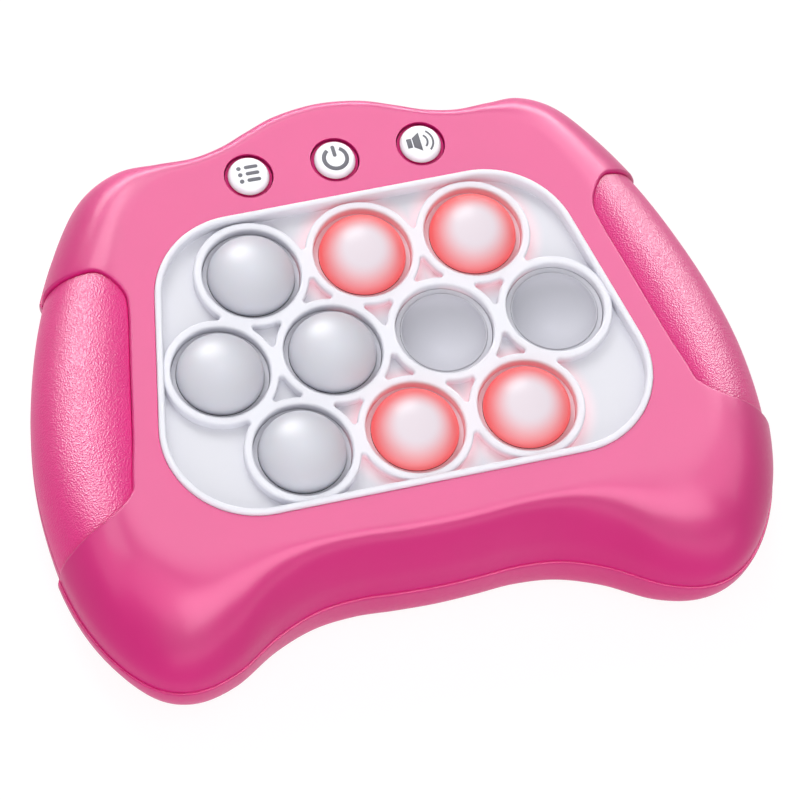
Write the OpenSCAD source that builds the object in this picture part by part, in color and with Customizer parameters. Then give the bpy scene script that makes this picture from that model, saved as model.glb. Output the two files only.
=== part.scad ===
// Handheld push-the-bubbles electronic game in a two-part case shaped like a game pad.
// Frame: x to the right, y away from the player, z up from the resting face. Millimetres.

/* [Case] */
// Height of the flat deck above the resting face
deck_z = 32; // [31:0.25:34]
// Height of the parting line between the case halves
parting_z = 12; // [11:0.25:13]
// Wall of both case halves
wall = 2.5; // [2.2:0.1:2.8]
// Thickness of the flat deck
deck_t = 2.2; // [2:0.1:2.4]
// Thickness of the floor
floor_t = 2.3; // [2:0.1:2.6]
// Open groove at the parting line
seam_gap = 0.3; // [0.2:0.05:0.5]
// Thickness of the outer lip where the halves overlap
lip_t = 1.2; // [1:0.1:1.4]
// Height of the tongue that the lip covers
tongue_h = 1.5; // [1.2:0.1:2]
// Play between tongue and lip
tongue_gap = 0.1; // [0.05:0.05:0.2]

/* [Grips] */
// How far a grip lies below the case surface
grip_step = 1; // [0.6:0.1:1.4]
// Thickness of a grip
grip_t = 1.2; // [1:0.1:1.5]
// Case wall behind a grip
grip_backing = 1.6; // [1.2:0.1:2]

/* [Panel] */
// Spacing of the bubbles
pitch = 25; // [24.8:0.1:25.2]
// Diameter of the hole in each ring
ring_hole_d = 21.4; // [21.2:0.1:21.6]
// Width of each ring
ring_w = 1.9; // [1.7:0.1:2.1]
// Height of the rings above the panel floor
ring_h = 2.4; // [2:0.1:2.8]
// Thickness of the panel floor
panel_t = 1.6; // [1.4:0.1:1.8]
// Width of the rim round the panel
rim_w = 1.5; // [1.3:0.1:1.7]
// Height of the rim above the deck
rim_rise = 0.8; // [0.4:0.1:1.2]
// Corner radius of the panel
corner_r = 20; // [19:0.25:21]
// Play between the rim and the opening in the deck
panel_gap = 0.15; // [0.1:0.05:0.3]
// Width of the flange that holds the panel under the deck
flange_w = 2.4; // [2:0.1:2.8]

/* [Bubbles] */
// Outer diameter of a bubble
bubble_d = 19; // [18.6:0.1:19.2]
// Height of a standing bubble
bubble_h = 7.2; // [6.8:0.1:7.6]
// Depth of a pushed-in bubble
dish_h = 4.8; // [4.4:0.1:5.2]
// Wall of a bubble
bubble_wall = 1.2; // [1:0.1:1.4]
// How far the foot of a bubble lies below the ring tops
bubble_sink = 1.9; // [1.7:0.1:2.1]
// Radial play between a bubble and its collar
bubble_gap = 0.08; // [0.05:0.01:0.1]
// Radial play between a collar and its ring
collar_gap = 0.15; // [0.1:0.05:0.2]
// Thickness of the bubble sheet
sheet_t = 1.2; // [1:0.1:1.4]
// Length of the nub that presses a bubble switch
nub_h = 2; // [1.6:0.1:2.4]

/* [Buttons] */
// Diameter of a button cap
button_d = 9.1; // [8.9:0.1:9.4]
// Diameter of a button hole
button_hole_d = 10.8; // [10.6:0.1:11]
// Spacing of the buttons
button_pitch = 19.5; // [19:0.1:20]
// Distance of the buttons behind the panel centre
button_y = 45.1; // [45:0.1:45.6]
// How far a cap stands above the deck
button_rise = 1; // [0.6:0.1:1.4]
// Travel of a button
button_travel = 0.8; // [0.6:0.1:1]
// Radial play between a button flange and its guide
button_gap = 0.08; // [0.05:0.01:0.1]

/* [Electronics] */
// Thickness of the circuit boards
board_t = 1.6; // [1.4:0.1:1.8]
// Side of a switch body
switch_side = 6; // [5.6:0.1:6.2]
// Outer radius of a light well
well_r = 11.1; // [10.9:0.1:11.3]
// Wall of a light well
well_wall = 1.2; // [1:0.1:1.3]
// Diameter of the loudspeaker
speaker_d = 28; // [27:0.5:29]

/* [Battery] */
// Diameter of a cell
cell_d = 10.5; // [10.3:0.1:10.6]
// Length of a cell with its nub
cell_l = 44.5; // [44:0.1:45]
// Play between neighbouring cells
cell_gap = 0.7; // [0.5:0.1:0.8]
// Thickness of the battery door
door_t = 2; // [1.8:0.1:2.2]
// Play round the battery door
door_gap = 0.3; // [0.2:0.05:0.4]

/* [Screws] */
// Shank diameter of the case screws
screw_d = 3; // [2.8:0.1:3.1]
// Head diameter of the case screws
screw_head_d = 5.6; // [5.2:0.1:5.8]
// Shank diameter of the small screws
small_screw_d = 2.2; // [2:0.1:2.3]
// Head diameter of the small screws
small_head_d = 4; // [3.8:0.1:4.2]
// Radial play of a screw in its pilot hole
pilot_gap = 0.03; // [0.02:0.01:0.05]
// Radial play of a screw in a clearance hole
through_gap = 0.2; // [0.15:0.05:0.3]

/* [Hidden] */
$fn = 72;
pink = [0.93, 0.32, 0.6];
white = [0.93, 0.93, 0.96];
grey = [0.78, 0.79, 0.83];
metal = [0.72, 0.72, 0.74];
green = [0.13, 0.4, 0.25];
black = [0.12, 0.12, 0.13];

// Stations round the right half of the case, from the middle of the hump to the middle of the
// front: parting line x, y; deck edge x, y; corner reach; corner fullness; rear rounding.
stations = [
    [0, 62.7, 0, 57.6, 1, 0.72, 11],
    [10, 61.5, 9, 56.5, 1, 0.72, 11],
    [17.4, 58.9, 16.4, 53.8, 1, 0.72, 11],
    [23.4, 56.5, 22.8, 51.3, 1, 0.72, 11],
    [30, 55.3, 30, 49.8, 1, 0.7, 11],
    [38, 56.4, 37, 48.9, 1, 0.66, 11],
    [46.4, 57.9, 42.2, 46.4, 1, 0.6, 12],
    [54.7, 54.3, 46.2, 42.2, 1, 0.57, 12],
    [61.8, 45.5, 49.3, 36, 1, 0.55, 12],
    [68.7, 32.7, 52, 28.6, 1, 0.55, 12],
    [73.9, 19.7, 53, 19.2, 1, 0.55, 12],
    [78.3, 4, 56.2, 4.5, 1, 0.55, 12],
    [80.7, -12, 59.6, -11, 1, 0.55, 12],
    [80.4, -29, 62.7, -24.5, 1, 0.55, 12],
    [77.6, -43, 61.2, -33.5, 0.98, 0.55, 12],
    [72.2, -54.1, 57, -38.2, 0.96, 0.55, 12],
    [65.2, -61.2, 52.6, -40.4, 0.94, 0.55, 9],
    [57, -63.4, 48, -41, 0.9, 0.56, 7],
    [47.4, -60.9, 43, -41, 0.8, 0.6, 5],
    [37, -54.7, 36, -41.4, 0.64, 0.7, 3.6],
    [27.4, -51, 27.4, -41.6, 0.54, 0.78, 3],
    [18, -50, 18, -41.6, 0.52, 0.83, 3],
    [9, -50.5, 9, -42, 0.52, 0.85, 3],
    [0, -50.8, 0, -42.2, 0.52, 0.85, 3]];
last = len(stations) - 1;

// The case keeps its border round the panel: places are drawn for one spacing of the bubbles and one
// corner radius, and move as the panel's edge does at others. Corner centres as shares of the spacing.
drawn_pitch = 25;
drawn_corner = 20;
low_share = [1.376, -0.604];
high_share = [1.096, 0.648];

// Fullness of the lower half's rounding, which eases as the rounding grows
rear_full = 0.84;
rear_ease = 0.02;

// Where a grip meets the outline, in stations, and how far its corners cut into the deck edge
grip_from = 8.95;
grip_to = 13.15;
grip_corner_from = 0.95;
grip_corner_to = -0.3;
corner_start = 0.7;
// Half width of the steps at the edge of a grip, in stations and as a share of the profile
edge_u = 0.012;
edge_v = 0.004;
// Columns of the case surface: hump to grip, along the grip, grip to front
cols_a = 20;
cols_b = 13;
cols_c = 24;
half_cols = cols_a + cols_b + cols_c + 2;
grip_share = 0.05;
grip_seat = 0.05;
// The case wall thickens before a grip starts and thins after it ends, in stations
thick_lead = 0.9;
thick_lag = 0.3;
thick_span = 0.6;
// Share of the lip that is left behind a grip, and how far the deck's underside is drawn in
grip_lip = 0.6;
deck_draw = 0.5;
grip_draw = 2.1;
recess = grip_step + grip_t;
seam_top = parting_z + seam_gap / 2;
seam_bottom = parting_z - seam_gap / 2;
ledge_z = parting_z + tongue_h;
deck_under = deck_z - deck_t;

// Panel stack, from the ring tops down
ring_hole_r = ring_hole_d / 2;
ring_r = ring_hole_r + ring_w;
row_y = pitch * sqrt(3) / 2;
pit_z = deck_z - ring_h;
panel_under = pit_z - panel_t;
web_w = 1.2;
web_l = 7.2;
flange_gap = 0.1;
flange_top = deck_under - flange_gap;
panel_low = low_share * pitch;
panel_high = high_share * pitch;
flange_reach = panel_low[0] + corner_r + flange_w;
sheet_z = panel_under - sheet_t;
frame_t = 1.6;
frame_z = sheet_z - frame_t;
frame_grow = 1;

bubble_r = bubble_d / 2;
bubble_foot = deck_z - bubble_sink;
collar_in = bubble_r + bubble_gap;
collar_out = ring_hole_r - collar_gap;
collar_drop = 0.1;
collar_top = bubble_foot - collar_drop;
nub_r = 2;
dish_rim = 0.3;
places = concat([for (i = [-1 : 1]) [i * pitch, row_y]], [for (i = [-1.5 : 1.5]) [i * pitch, 0]],
    [for (i = [-1 : 1]) [i * pitch, -row_y]]);

// The main board lies over the battery box, and its switches reach up to what presses them
cell_lift = 0.4;
cell_head = 0.3;
box_roof = 1.2;
board_gap = 0.6;
cell_z = door_t + cell_lift + cell_d / 2;
box_top = cell_z + cell_d / 2 + cell_head;
board_z = box_top + box_roof + board_gap;
board_top = board_z + board_t;
press_gap = 0.1;
switch_top = bubble_foot - dish_h - bubble_wall - nub_h - press_gap;
switch_h = switch_top - board_top;
switch_body = 3.6;
plunger_r = 1.75;
lamp_size = [2.8, 3.5];
lamp_h = 1.4;
lamp_x = 6;
board_grow = -2;
post_r = 2.7;
posts = moved([[42, 22], [-42, 22], [42, -22], [-42, -22]]);

// Buttons
button_flange_w = 0.8;
button_flange_t = 1.6;
button_foot_l = 1.5;
button_foot_r = 1.6;
button_edge = 1.4;
button_crown = 0.3;
guide_wall = 1.1;
guide_l = 3.3;
guide_gap = 0.3;
button_flange_r = button_hole_d / 2 + button_flange_w;
button_guide_r = button_flange_r + button_gap + guide_wall;
// The panel flange stops short of the button guides
button_row = move([0, button_y])[1];
flange_limit = button_row - button_guide_r - guide_gap;
button_foot = flange_top - button_flange_t - button_foot_l;
button_switch_h = 5;
button_board_top = button_foot - button_travel - button_switch_h;
button_places = [[-button_pitch, button_row], [0, button_row], [button_pitch, button_row]];
button_post_y = button_row + 6.3;
button_posts = [[button_pitch / 2, button_post_y], [-button_pitch / 2, button_post_y]];
board_margin = 6.5;
board_w = 10.4;
board_shift = 0.2;
tab_margin = 3.5;
tab_w = 6;
tab_shift = 5.9;
button_board_size = [2 * button_pitch + 2 * board_margin, board_w];
board_tab_size = [button_pitch + 2 * tab_margin, tab_w];

// Screw posts
case_places = moved([[41.5, 40.5], [-41.5, 40.5], [47.5, -39.5], [-47.5, -39.5]]);
frame_places = moved([[45.8, 34.4], [-45.8, 34.4], [53.2, -33.3], [-53.2, -33.3]]);
case_post_r = 3.4;
case_seat = 5;
case_pilot = 10;
small_pilot = 6;
pilot_end = 1;
frame_post_r = 2.6;
ear_r = frame_post_r + 0.6;
ear_l = 14;
ear_w = 2 * ear_r - 2;
head_h = 2;
small_head_h = 1.5;
post_root = deck_z - 1;

// Battery box
cell_count = 3;
cell_step = cell_d + cell_gap;
box_y = -22;
box_in = [cell_l + 11, cell_count * cell_step + 0.6];
box_wall = 1.8;
door_wing = 11;
door_edge = 2;
door_size = box_in + 2 * [door_wing, door_edge];
door_corner = 3;
door_seat = 0.05;
door_screw_x = box_in[0] / 2 + 5.5;
door_post_r = 3.5;
door_post_top = 10;
door_screws_at = [[door_screw_x, 0], [-door_screw_x, 0]];
door_head_z = door_t - 0.7;
speaker_y = move([0, 34])[1];
speaker_wall = 1.5;
speaker_gap = 0.1;
grille_r = 0.9;
grille_step = 4;
speaker_flange_t = 1.2;
contact_t = 0.4;
contact_w = 0.76 * cell_d;
contact_h = 0.38 * cell_d;
// Loudspeaker: height, magnet radius and height of its cone
speaker_h = 7.4;
magnet_r = speaker_d / 4;
cone_h = 4.2;
cone_rim = 2;

function lerp(a, b, t) = a + (b - a) * t;
function smooth(t) = let (s = min(1, max(0, t))) s * s * (3 - 2 * s);
function spline(a, b, c, d, t) = (2 * b + (c - a) * t + (2 * a - 5 * b + 4 * c - d) * t * t
    + (3 * b - a - 3 * c + d) * t * t * t) / 2;
function bezier(a, b, c, d, t) = a * pow(1 - t, 3) + b * 3 * t * pow(1 - t, 2)
    + c * 3 * t * t * (1 - t) + d * pow(t, 3);
function bezier_dir(a, b, c, d, t) = (b - a) * pow(1 - t, 2) + (c - b) * 2 * t * (1 - t)
    + (d - c) * t * t;
function between(t, low, high) = min(high, max(low, t));
function side_share(y) = lerp(low_share[0], high_share[0],
    between((y - low_share[1]) / (high_share[1] - low_share[1]), 0, 1));
function move(p) = let (at = p / drawn_pitch, k = side_share(at[1]),
        near = [between(at[0], -k, k), between(at[1], low_share[1], high_share[1])],
        out = at - near, far = norm(out))
    p + (pitch - drawn_pitch) * near + (corner_r - drawn_corner) * (far > 0 ? out / far : out);
function moved(list) = [for (p = list) move(p)];
function flip(s) = [-s[0], s[1], -s[2], s[3], s[4], s[5], s[6]];
function station(i) = i < 0 ? flip(case_line[-i]) : i > last ? flip(case_line[2 * last - i]) : case_line[i];
function outline(u) = let (i = min(floor(u), last - 1))
    spline(station(i - 1), station(i), station(i + 1), station(i + 2), u - i);

// A point of the upper half: u round the outline, v from the parting line up to the deck edge
function front_point(u, v, inset) = let (
        s = outline(u), p = [s[0], s[1]], q = [s[2], s[3]], reach = norm(p - q), d = (p - q) / reach,
        corner = [s[4] * reach, deck_z], a = [reach, seam_top], e = [0, deck_z],
        b = lerp(a, corner, s[5]), c = lerp(e, corner, s[5]),
        t = bezier_dir(a, b, c, e, v), n = [t[1], -t[0]] / norm(t),
        m = bezier(a, b, c, e, v) - n * inset)
    [q[0] + d[0] * m[0], q[1] + d[1] * m[0], m[1]];

// A point under the deck, inboard of its edge
function deck_point(u, inset, z) = let (s = outline(u), p = [s[0], s[1]], q = [s[2], s[3]],
        d = (p - q) / norm(p - q))
    [q[0] - d[0] * inset, q[1] - d[1] * inset, z];

// A point of the lower half: w from the parting line down to the resting face
function rear_point(u, w, inset) = let (
        s = outline(u), p = [s[0], s[1]], q = [s[2], s[3]], d = (p - q) / norm(p - q),
        k = rear_full - rear_ease * s[6],
        a = [0, seam_bottom], e = [s[6], 0], b = lerp(a, [0, 0], k), c = lerp(e, [0, 0], k),
        t = bezier_dir(a, b, c, e, w), n = [t[1], -t[0]] / norm(t),
        m = bezier(a, b, c, e, w) - n * inset)
    [p[0] - d[0] * m[0], p[1] - d[1] * m[0], m[1]];

// Columns of the case surface follow the ends of the grip, whose corners are rounded
function corner(v) = let (x = max(0, v - corner_start) / (1 - corner_start)) 1 - sqrt(max(0, 1 - x * x));
function grip_start(v) = grip_from + grip_corner_from * corner(v);
function grip_end(v) = grip_to + grip_corner_to * corner(v);
function column(i, v) = i <= cols_a ? lerp(0, grip_start(v) - edge_u, i / cols_a)
    : i <= cols_a + 1 + cols_b
    ? lerp(grip_start(v) + edge_u, grip_end(v) - edge_u, (i - cols_a - 1) / cols_b)
    : lerp(grip_end(v) + edge_u, last, (i - cols_a - cols_b - 2) / cols_c);
function gripped(i) = i > cols_a && i <= cols_a + 1 + cols_b;
function thick(i) = let (u = column(i, 0))
    smooth((u - grip_from + thick_lead) / thick_span)
    * (1 - smooth((u - grip_to - thick_lag) / thick_span));
function inner_inset(i) = lerp(wall, recess + grip_backing, thick(i));
function rim_inset(i) = gripped(i) ? recess : 0;
function lip_inset(i) = rim_inset(i) + lip_t * (gripped(i) ? grip_lip : 1);
// The tongue steps in one column before the lip does, so that they stay apart
function tongue_inset(i) = max(lip_inset(max(0, i - 1)), lip_inset(i), lip_inset(i + 1)) + tongue_gap;
function at_height(p, z) = [p[0], p[1], z];
function ring(f) = concat([for (i = [0 : half_cols]) f(i)],
    [for (i = [half_cols - 1 : -1 : 1]) let (p = f(i)) [-p[0], p[1], p[2]]]);

case_line = [for (s = stations) concat(move([s[0], s[1]]), move([s[2], s[3]]), [s[4], s[5], s[6]])];
rows_low = [for (j = [0 : 4]) corner_start * j / 5];
rows_high = [for (a = [0 : 18 : 72]) lerp(corner_start, 1, sin(a))];
grip_rows = concat(rows_low, rows_high, [1 - edge_v]);

// A closed skin through rings of points, with a fan at each end
module skin(rings, first, final) {
    n = len(rings[0]);
    k = len(rings);
    points = concat([for (r = rings, p = r) p], [first, final]);
    sides = [for (j = [0 : k - 2], i = [0 : n - 1]) let (a = j * n + i, b = j * n + (i + 1) % n)
        each [[a, b + n, b], [a, a + n, b + n]]];
    tops = [for (i = [0 : n - 1]) [k * n, i, (i + 1) % n]];
    ends = [for (i = [0 : n - 1]) [k * n + 1, (k - 1) * n + (i + 1) % n, (k - 1) * n + i]];
    polyhedron(points, concat(sides, tops, ends), convexity = 6);
}

// A curved plate between two grids of points
module plate(outer, under) {
    r = len(outer) - 1;
    c = len(outer[0]) - 1;
    w = c + 1;
    o = w * (r + 1);
    faces = concat(
        [for (j = [0 : r - 1], i = [0 : c - 1]) let (a = j * w + i)
            each [[a, a + w + 1, a + 1], [a, a + w, a + w + 1],
                [o + a, o + a + 1, o + a + w + 1], [o + a, o + a + w + 1, o + a + w]]],
        [for (i = [0 : c - 1]) let (a = i, b = r * w + i)
            each [[a, a + 1, o + a + 1], [a, o + a + 1, o + a],
                [b + 1, b, o + b], [b + 1, o + b, o + b + 1]]],
        [for (j = [0 : r - 1]) let (a = j * w, b = j * w + c)
            each [[a + w, a, o + a], [a + w, o + a, o + a + w],
                [b, b + w, o + b + w], [b, o + b + w, o + b]]]);
    polyhedron(concat([for (g = outer, p = g) p], [for (g = under, p = g) p]), faces, convexity = 4);
}

module at_each(list) {
    for (p = list) translate(p) children();
}

// The panel outline: a trapezoid with round corners
module panel_shape(grow) {
    r = corner_r + grow;
    s = panel_high - panel_low;
    n = [s[1], -s[0]] / norm(s);
    polygon([panel_low + r * n, panel_high + r * n, panel_high + [0, r], [-panel_high[0], panel_high[1] + r],
        [-panel_high[0] - r * n[0], panel_high[1] + r * n[1]],
        [-panel_low[0] - r * n[0], panel_low[1] + r * n[1]],
        [-panel_low[0], panel_low[1] - r], panel_low - [0, r]]);
    for (c = [panel_low, panel_high], m = [-1, 1]) translate([m * c[0], c[1]]) circle(r);
}

module panel_block(grow, z, top) {
    translate([0, 0, z]) linear_extrude(top - z) panel_shape(grow);
}

module hole(r, z, top) {
    translate([0, 0, z]) cylinder(r = r, h = top - z);
}

module box(size, z, top) {
    translate([-size[0] / 2, -size[1] / 2, z]) cube([size[0], size[1], top - z]);
}

module round_box(size, r, z, top) {
    box([size[0] - 2 * r, size[1]], z, top);
    box([size[0], size[1] - 2 * r], z, top);
    for (x = [-1, 1], y = [-1, 1])
        translate([x * (size[0] / 2 - r), y * (size[1] / 2 - r), 0]) hole(r, z, top);
}

module screw(d, head_d, head, z, tip) {
    hole(head_d / 2, z - head, z);
    hole(d / 2, z - 0.1, tip);
}

module front_skin() {
    outer = [for (j = [len(grip_rows) : -1 : 0]) j == len(grip_rows)
        ? ring(function (i) front_point(column(i, 1), 1, 0))
        : ring(function (i) front_point(column(i, grip_rows[j]), grip_rows[j], rim_inset(i)))];
    lip = function (i) front_point(column(i, 0), 0, lip_inset(i));
    rim = [ring(lip), ring(function (i) at_height(lip(i), ledge_z)),
        ring(function (i) at_height(front_point(column(i, 0), 0, inner_inset(i)), ledge_z))];
    inner = [for (v = [0.2 : 0.2 : 1])
        ring(function (i) front_point(column(i, v), v, inner_inset(i)))];
    inset = function (i) deck_draw + grip_draw * thick(i);
    under = [ring(function (i) deck_point(column(i, 1), inset(i), deck_z - inner_inset(i))),
        ring(function (i) deck_point(column(i, 1), inset(i), deck_under))];
    skin(concat(outer, rim, inner, under), [0, 0, deck_z], [0, 0, deck_under]);
}

module front_shell() color(pink) difference() {
    union() {
        difference() {
            front_skin();
            panel_block(panel_gap, deck_under - 1, deck_z + 1);
            at_each(button_places) hole(button_hole_d / 2, deck_under - 1, deck_z + 1);
        }
        at_each(button_places) difference() {
            hole(button_guide_r, deck_under - guide_l, post_root);
            hole(button_flange_r + button_gap, deck_under - guide_l - 1, deck_under);
            hole(button_hole_d / 2, deck_under - 1, deck_z);
        }
        at_each(case_places) hole(case_post_r, parting_z, post_root);
        at_each(frame_places) hole(frame_post_r, frame_z + frame_t, post_root);
        at_each(button_posts) hole(frame_post_r, button_board_top, post_root);
    }
    at_each(case_places) hole(screw_d / 2 + pilot_gap, parting_z - 1, parting_z + case_pilot);
    at_each(frame_places) hole(small_screw_d / 2 + pilot_gap, frame_z, deck_under);
    at_each(button_posts)
        hole(small_screw_d / 2 + pilot_gap, button_board_top - 1, button_board_top + small_pilot);
}

module rear_skin() {
    levels = [0, 0.12, 0.26, 0.4, 0.55, 0.7, 0.85, 1];
    step = function (i, w) gripped(i) ? grip_step * (1 - smooth(w / 0.7)) : 0;
    tongue = function (i) front_point(column(i, 0), 0, tongue_inset(i));
    inner = [for (w = [1, 0.75, 0.5, 0.25, 0])
        ring(function (i) rear_point(column(i, 0), w, lerp(inner_inset(i), floor_t, smooth(w))))];
    rim = [ring(function (i) at_height(rear_point(column(i, 0), 0, inner_inset(i)), ledge_z)),
        ring(function (i) at_height(tongue(i), ledge_z)),
        ring(function (i) at_height(tongue(i), seam_bottom))];
    outer = [for (w = levels) ring(function (i) rear_point(column(i, 0), w, step(i, w)))];
    skin(concat(inner, rim, outer), [0, 0, floor_t], [0, 0, 0]);
}

module rear_shell() color(pink) difference() {
    union() {
        rear_skin();
        at_each(case_places) hole(case_post_r + 0.6, floor_t - 1, parting_z);
        translate([0, box_y, 0]) {
            box(box_in + 2 * [box_wall, box_wall], floor_t - 1, box_top + box_roof);
            box(door_size + 2 * [box_wall, box_wall], floor_t - 1, door_t + door_seat + box_roof);
            at_each(door_screws_at) hole(door_post_r, floor_t, door_post_top);
        }
        translate([0, speaker_y, 0])
            hole(speaker_d / 2 + speaker_wall, floor_t - 1, floor_t + speaker_flange_t);
    }
    translate([0, box_y, 0]) {
        box(box_in, -1, box_top);
        round_box(door_size + 2 * [door_gap, door_gap], door_corner + door_gap, -1, door_t + door_seat);
        at_each(door_screws_at) hole(screw_d / 2 + 2 * pilot_gap, 0, door_post_top - pilot_end);
    }
    at_each(case_places) {
        hole(screw_head_d / 2 + through_gap, -1, case_seat);
        hole(screw_d / 2 + through_gap, case_seat - 1, parting_z + 1);
    }
    translate([0, speaker_y, 0]) {
        hole(speaker_d / 2 + speaker_gap, floor_t, floor_t + speaker_flange_t + 1);
        hole(grille_r, -1, floor_t + 1);
        for (k = [1, 2], a = [0 : 60 / k : 359]) rotate(a) translate([grille_step * k, 0, 0])
            hole(grille_r, -1, floor_t + 1);
    }
}

module right_grip() color(pink) {
    span = [for (j = [len(grip_rows) - 1 : -1 : 0]) j];
    grid = function (inset) [for (j = span) [for (i = [cols_a + 1 : cols_a + 1 + cols_b])
        front_point(column(i, grip_rows[j]), grip_rows[j], inset)]];
    // The edges stand a little inside the recess
    narrow = function (row) let (n = len(row) - 1) [for (i = [0 : n])
        i == 0 ? lerp(row[0], row[1], grip_share)
            : i == n ? lerp(row[n], row[n - 1], grip_share) : row[i]];
    trim = function (g) [for (j = [0 : len(g) - 1])
        narrow(j == 0 ? lerp(g[0], g[1], 2 * grip_share) : g[j])];
    plate(trim(grid(grip_step)), trim(grid(recess - grip_seat)));
}

module left_grip() mirror([1, 0, 0]) right_grip();

module panel_bezel() color(white) difference() {
    union() {
        panel_block(0, panel_under, pit_z);
        difference() {
            panel_block(0, panel_under, deck_z + rim_rise);
            panel_block(-rim_w, panel_under - 1, deck_z + rim_rise + 1);
        }
        at_each(places) hole(ring_r, panel_under, deck_z);
        for (a = places, b = places) if (a[0] < b[0] && norm(a - b) < 1.1 * pitch)
            translate((a + b) / 2) rotate(atan2(b[1] - a[1], b[0] - a[0]))
                box([web_w, web_l], panel_under, deck_z);
        intersection() {
            panel_block(flange_w, panel_under, flange_top);
            translate([0, flange_limit - flange_reach, 0]) box(2 * [flange_reach, flange_reach], 0, deck_z);
        }
    }
    at_each(places) hole(ring_hole_r, panel_under - 1, deck_z + 1);
}

module bubble_sheet() color(white) difference() {
    union() {
        panel_block(frame_grow, sheet_z, panel_under);
        at_each(places) hole(collar_out, sheet_z, collar_top);
    }
    at_each(places) hole(collar_in, sheet_z - 1, collar_top + 1);
}

// A standing bubble: an elliptical dome with a nub under its crown
module dome() translate([0, 0, bubble_foot]) rotate_extrude() {
    in_r = bubble_r - bubble_wall;
    in_h = bubble_h - bubble_wall;
    top = acos(nub_r / in_r);
    polygon(concat([for (a = [0 : 6 : 90]) [bubble_r * cos(a), bubble_h * sin(a)]],
        [[0, in_h - nub_h], [nub_r, in_h - nub_h]],
        [for (s = [1 : -0.1 : 0]) [in_r * cos(top * s), in_h * sin(top * s)]]));
}

// A pushed-in bubble: a dish with a nub under its floor
module dish() translate([0, 0, bubble_foot]) rotate_extrude() {
    in_r = bubble_r - dish_rim;
    out_h = dish_h + bubble_wall;
    low = acos(nub_r / bubble_r);
    polygon(concat([for (a = [0 : 6 : 90]) [in_r * cos(a), -dish_h * sin(a)]],
        [[0, -out_h - nub_h], [nub_r, -out_h - nub_h]],
        [for (s = [1 : -0.1 : 0]) [bubble_r * cos(low * s), -out_h * sin(low * s)]]));
}

module standing(k) color(grey) translate(places[k - 1]) dome();

module pushed(k) color(grey) translate(places[k - 1]) dish();

module light_frame() color(white) difference() {
    union() {
        panel_block(frame_grow, frame_z, sheet_z);
        at_each(places) hole(well_r, board_top, sheet_z);
        at_each(posts) hole(post_r, board_top, sheet_z);
        for (p = frame_places) translate(p) {
            hole(ear_r, frame_z, sheet_z);
            translate([-sign(p[0]) * ear_l / 2, 0, 0]) box([ear_l, ear_w], frame_z, sheet_z);
        }
    }
    at_each(places) hole(well_r - well_wall, board_top - 1, sheet_z + 1);
    at_each(posts) hole(small_screw_d / 2 + pilot_gap, board_top - 1, board_top + small_pilot);
    at_each(frame_places) hole(small_screw_d / 2 + through_gap, frame_z - 1, sheet_z + 1);
}

module main_board() color(green) difference() {
    panel_block(board_grow, board_z, board_top);
    at_each(posts) hole(small_screw_d / 2 + through_gap, board_z - 1, board_top + 1);
}

module bubble_lamps() color(white) at_each(places) for (x = [-lamp_x, lamp_x]) translate([x, 0, 0])
    box(lamp_size, board_top, board_top + lamp_h);

module push_switch(z, height) {
    box([switch_side, switch_side], z, z + switch_body);
    hole(plunger_r, z, z + height);
}

module bubble_switches() color(black) at_each(places) push_switch(board_top, switch_h);

// A button: rounded cap, flange that holds it under the deck, and a foot for its switch
module button() color(white) rotate_extrude() {
    r = button_d / 2;
    top = deck_z + button_rise;
    under = flange_top - button_flange_t;
    edge_z = top - button_crown - button_edge;
    polygon(concat([[0, button_foot], [button_foot_r, button_foot], [button_foot_r, under],
        [button_flange_r, under], [button_flange_r, flange_top], [r, flange_top]],
        [for (a = [0 : 10 : 70]) [r + button_edge * (cos(a) - 1), edge_z + button_edge * sin(a)]],
        [[0, top]]));
}

module menu_button() translate(button_places[0]) button();

module power_button() translate(button_places[1]) button();

module sound_button() translate(button_places[2]) button();

module button_board() color(green) difference() {
    union() {
        translate([0, button_row + board_shift, 0])
            box(button_board_size, button_board_top - board_t, button_board_top);
        translate([0, button_row + tab_shift, 0])
            box(board_tab_size, button_board_top - board_t, button_board_top);
    }
    at_each(button_posts)
        hole(small_screw_d / 2 + through_gap, button_board_top - board_t - 1, button_board_top + 1);
}

module button_switches() color(black) at_each(button_places) push_switch(button_board_top, button_switch_h);

module battery_door() color(pink) translate([0, box_y, 0]) difference() {
    round_box(door_size, door_corner, 0, door_t);
    at_each(door_screws_at) {
        hole(screw_head_d / 2 + through_gap, -1, door_head_z);
        hole(screw_d / 2 + through_gap, 0, door_t + 1);
    }
    for (x = [-6 : 4 : 6]) translate([x, door_size[1] / 2 - 4, 0]) box([1.6, 3], -1, 0.6);
}

module door_screws() color(metal) translate([0, box_y, 0])
    at_each(door_screws_at)
        screw(screw_d, screw_head_d, door_head_z - 0.2, door_head_z, door_post_top - 2 * pilot_end);

// The cells lie along x, and every second one is turned round
module batteries() color(metal) for (k = [0 : cell_count - 1])
    translate([0, box_y + (k - (cell_count - 1) / 2) * cell_step, cell_z])
    rotate([0, k % 2 == 0 ? 90 : -90, 0]) {
        translate([0, 0, -cell_l / 2]) cylinder(d = cell_d, h = cell_l - 1);
        translate([0, 0, cell_l / 2 - 1.1]) cylinder(d = 3.8, h = 1.1);
    }

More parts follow.
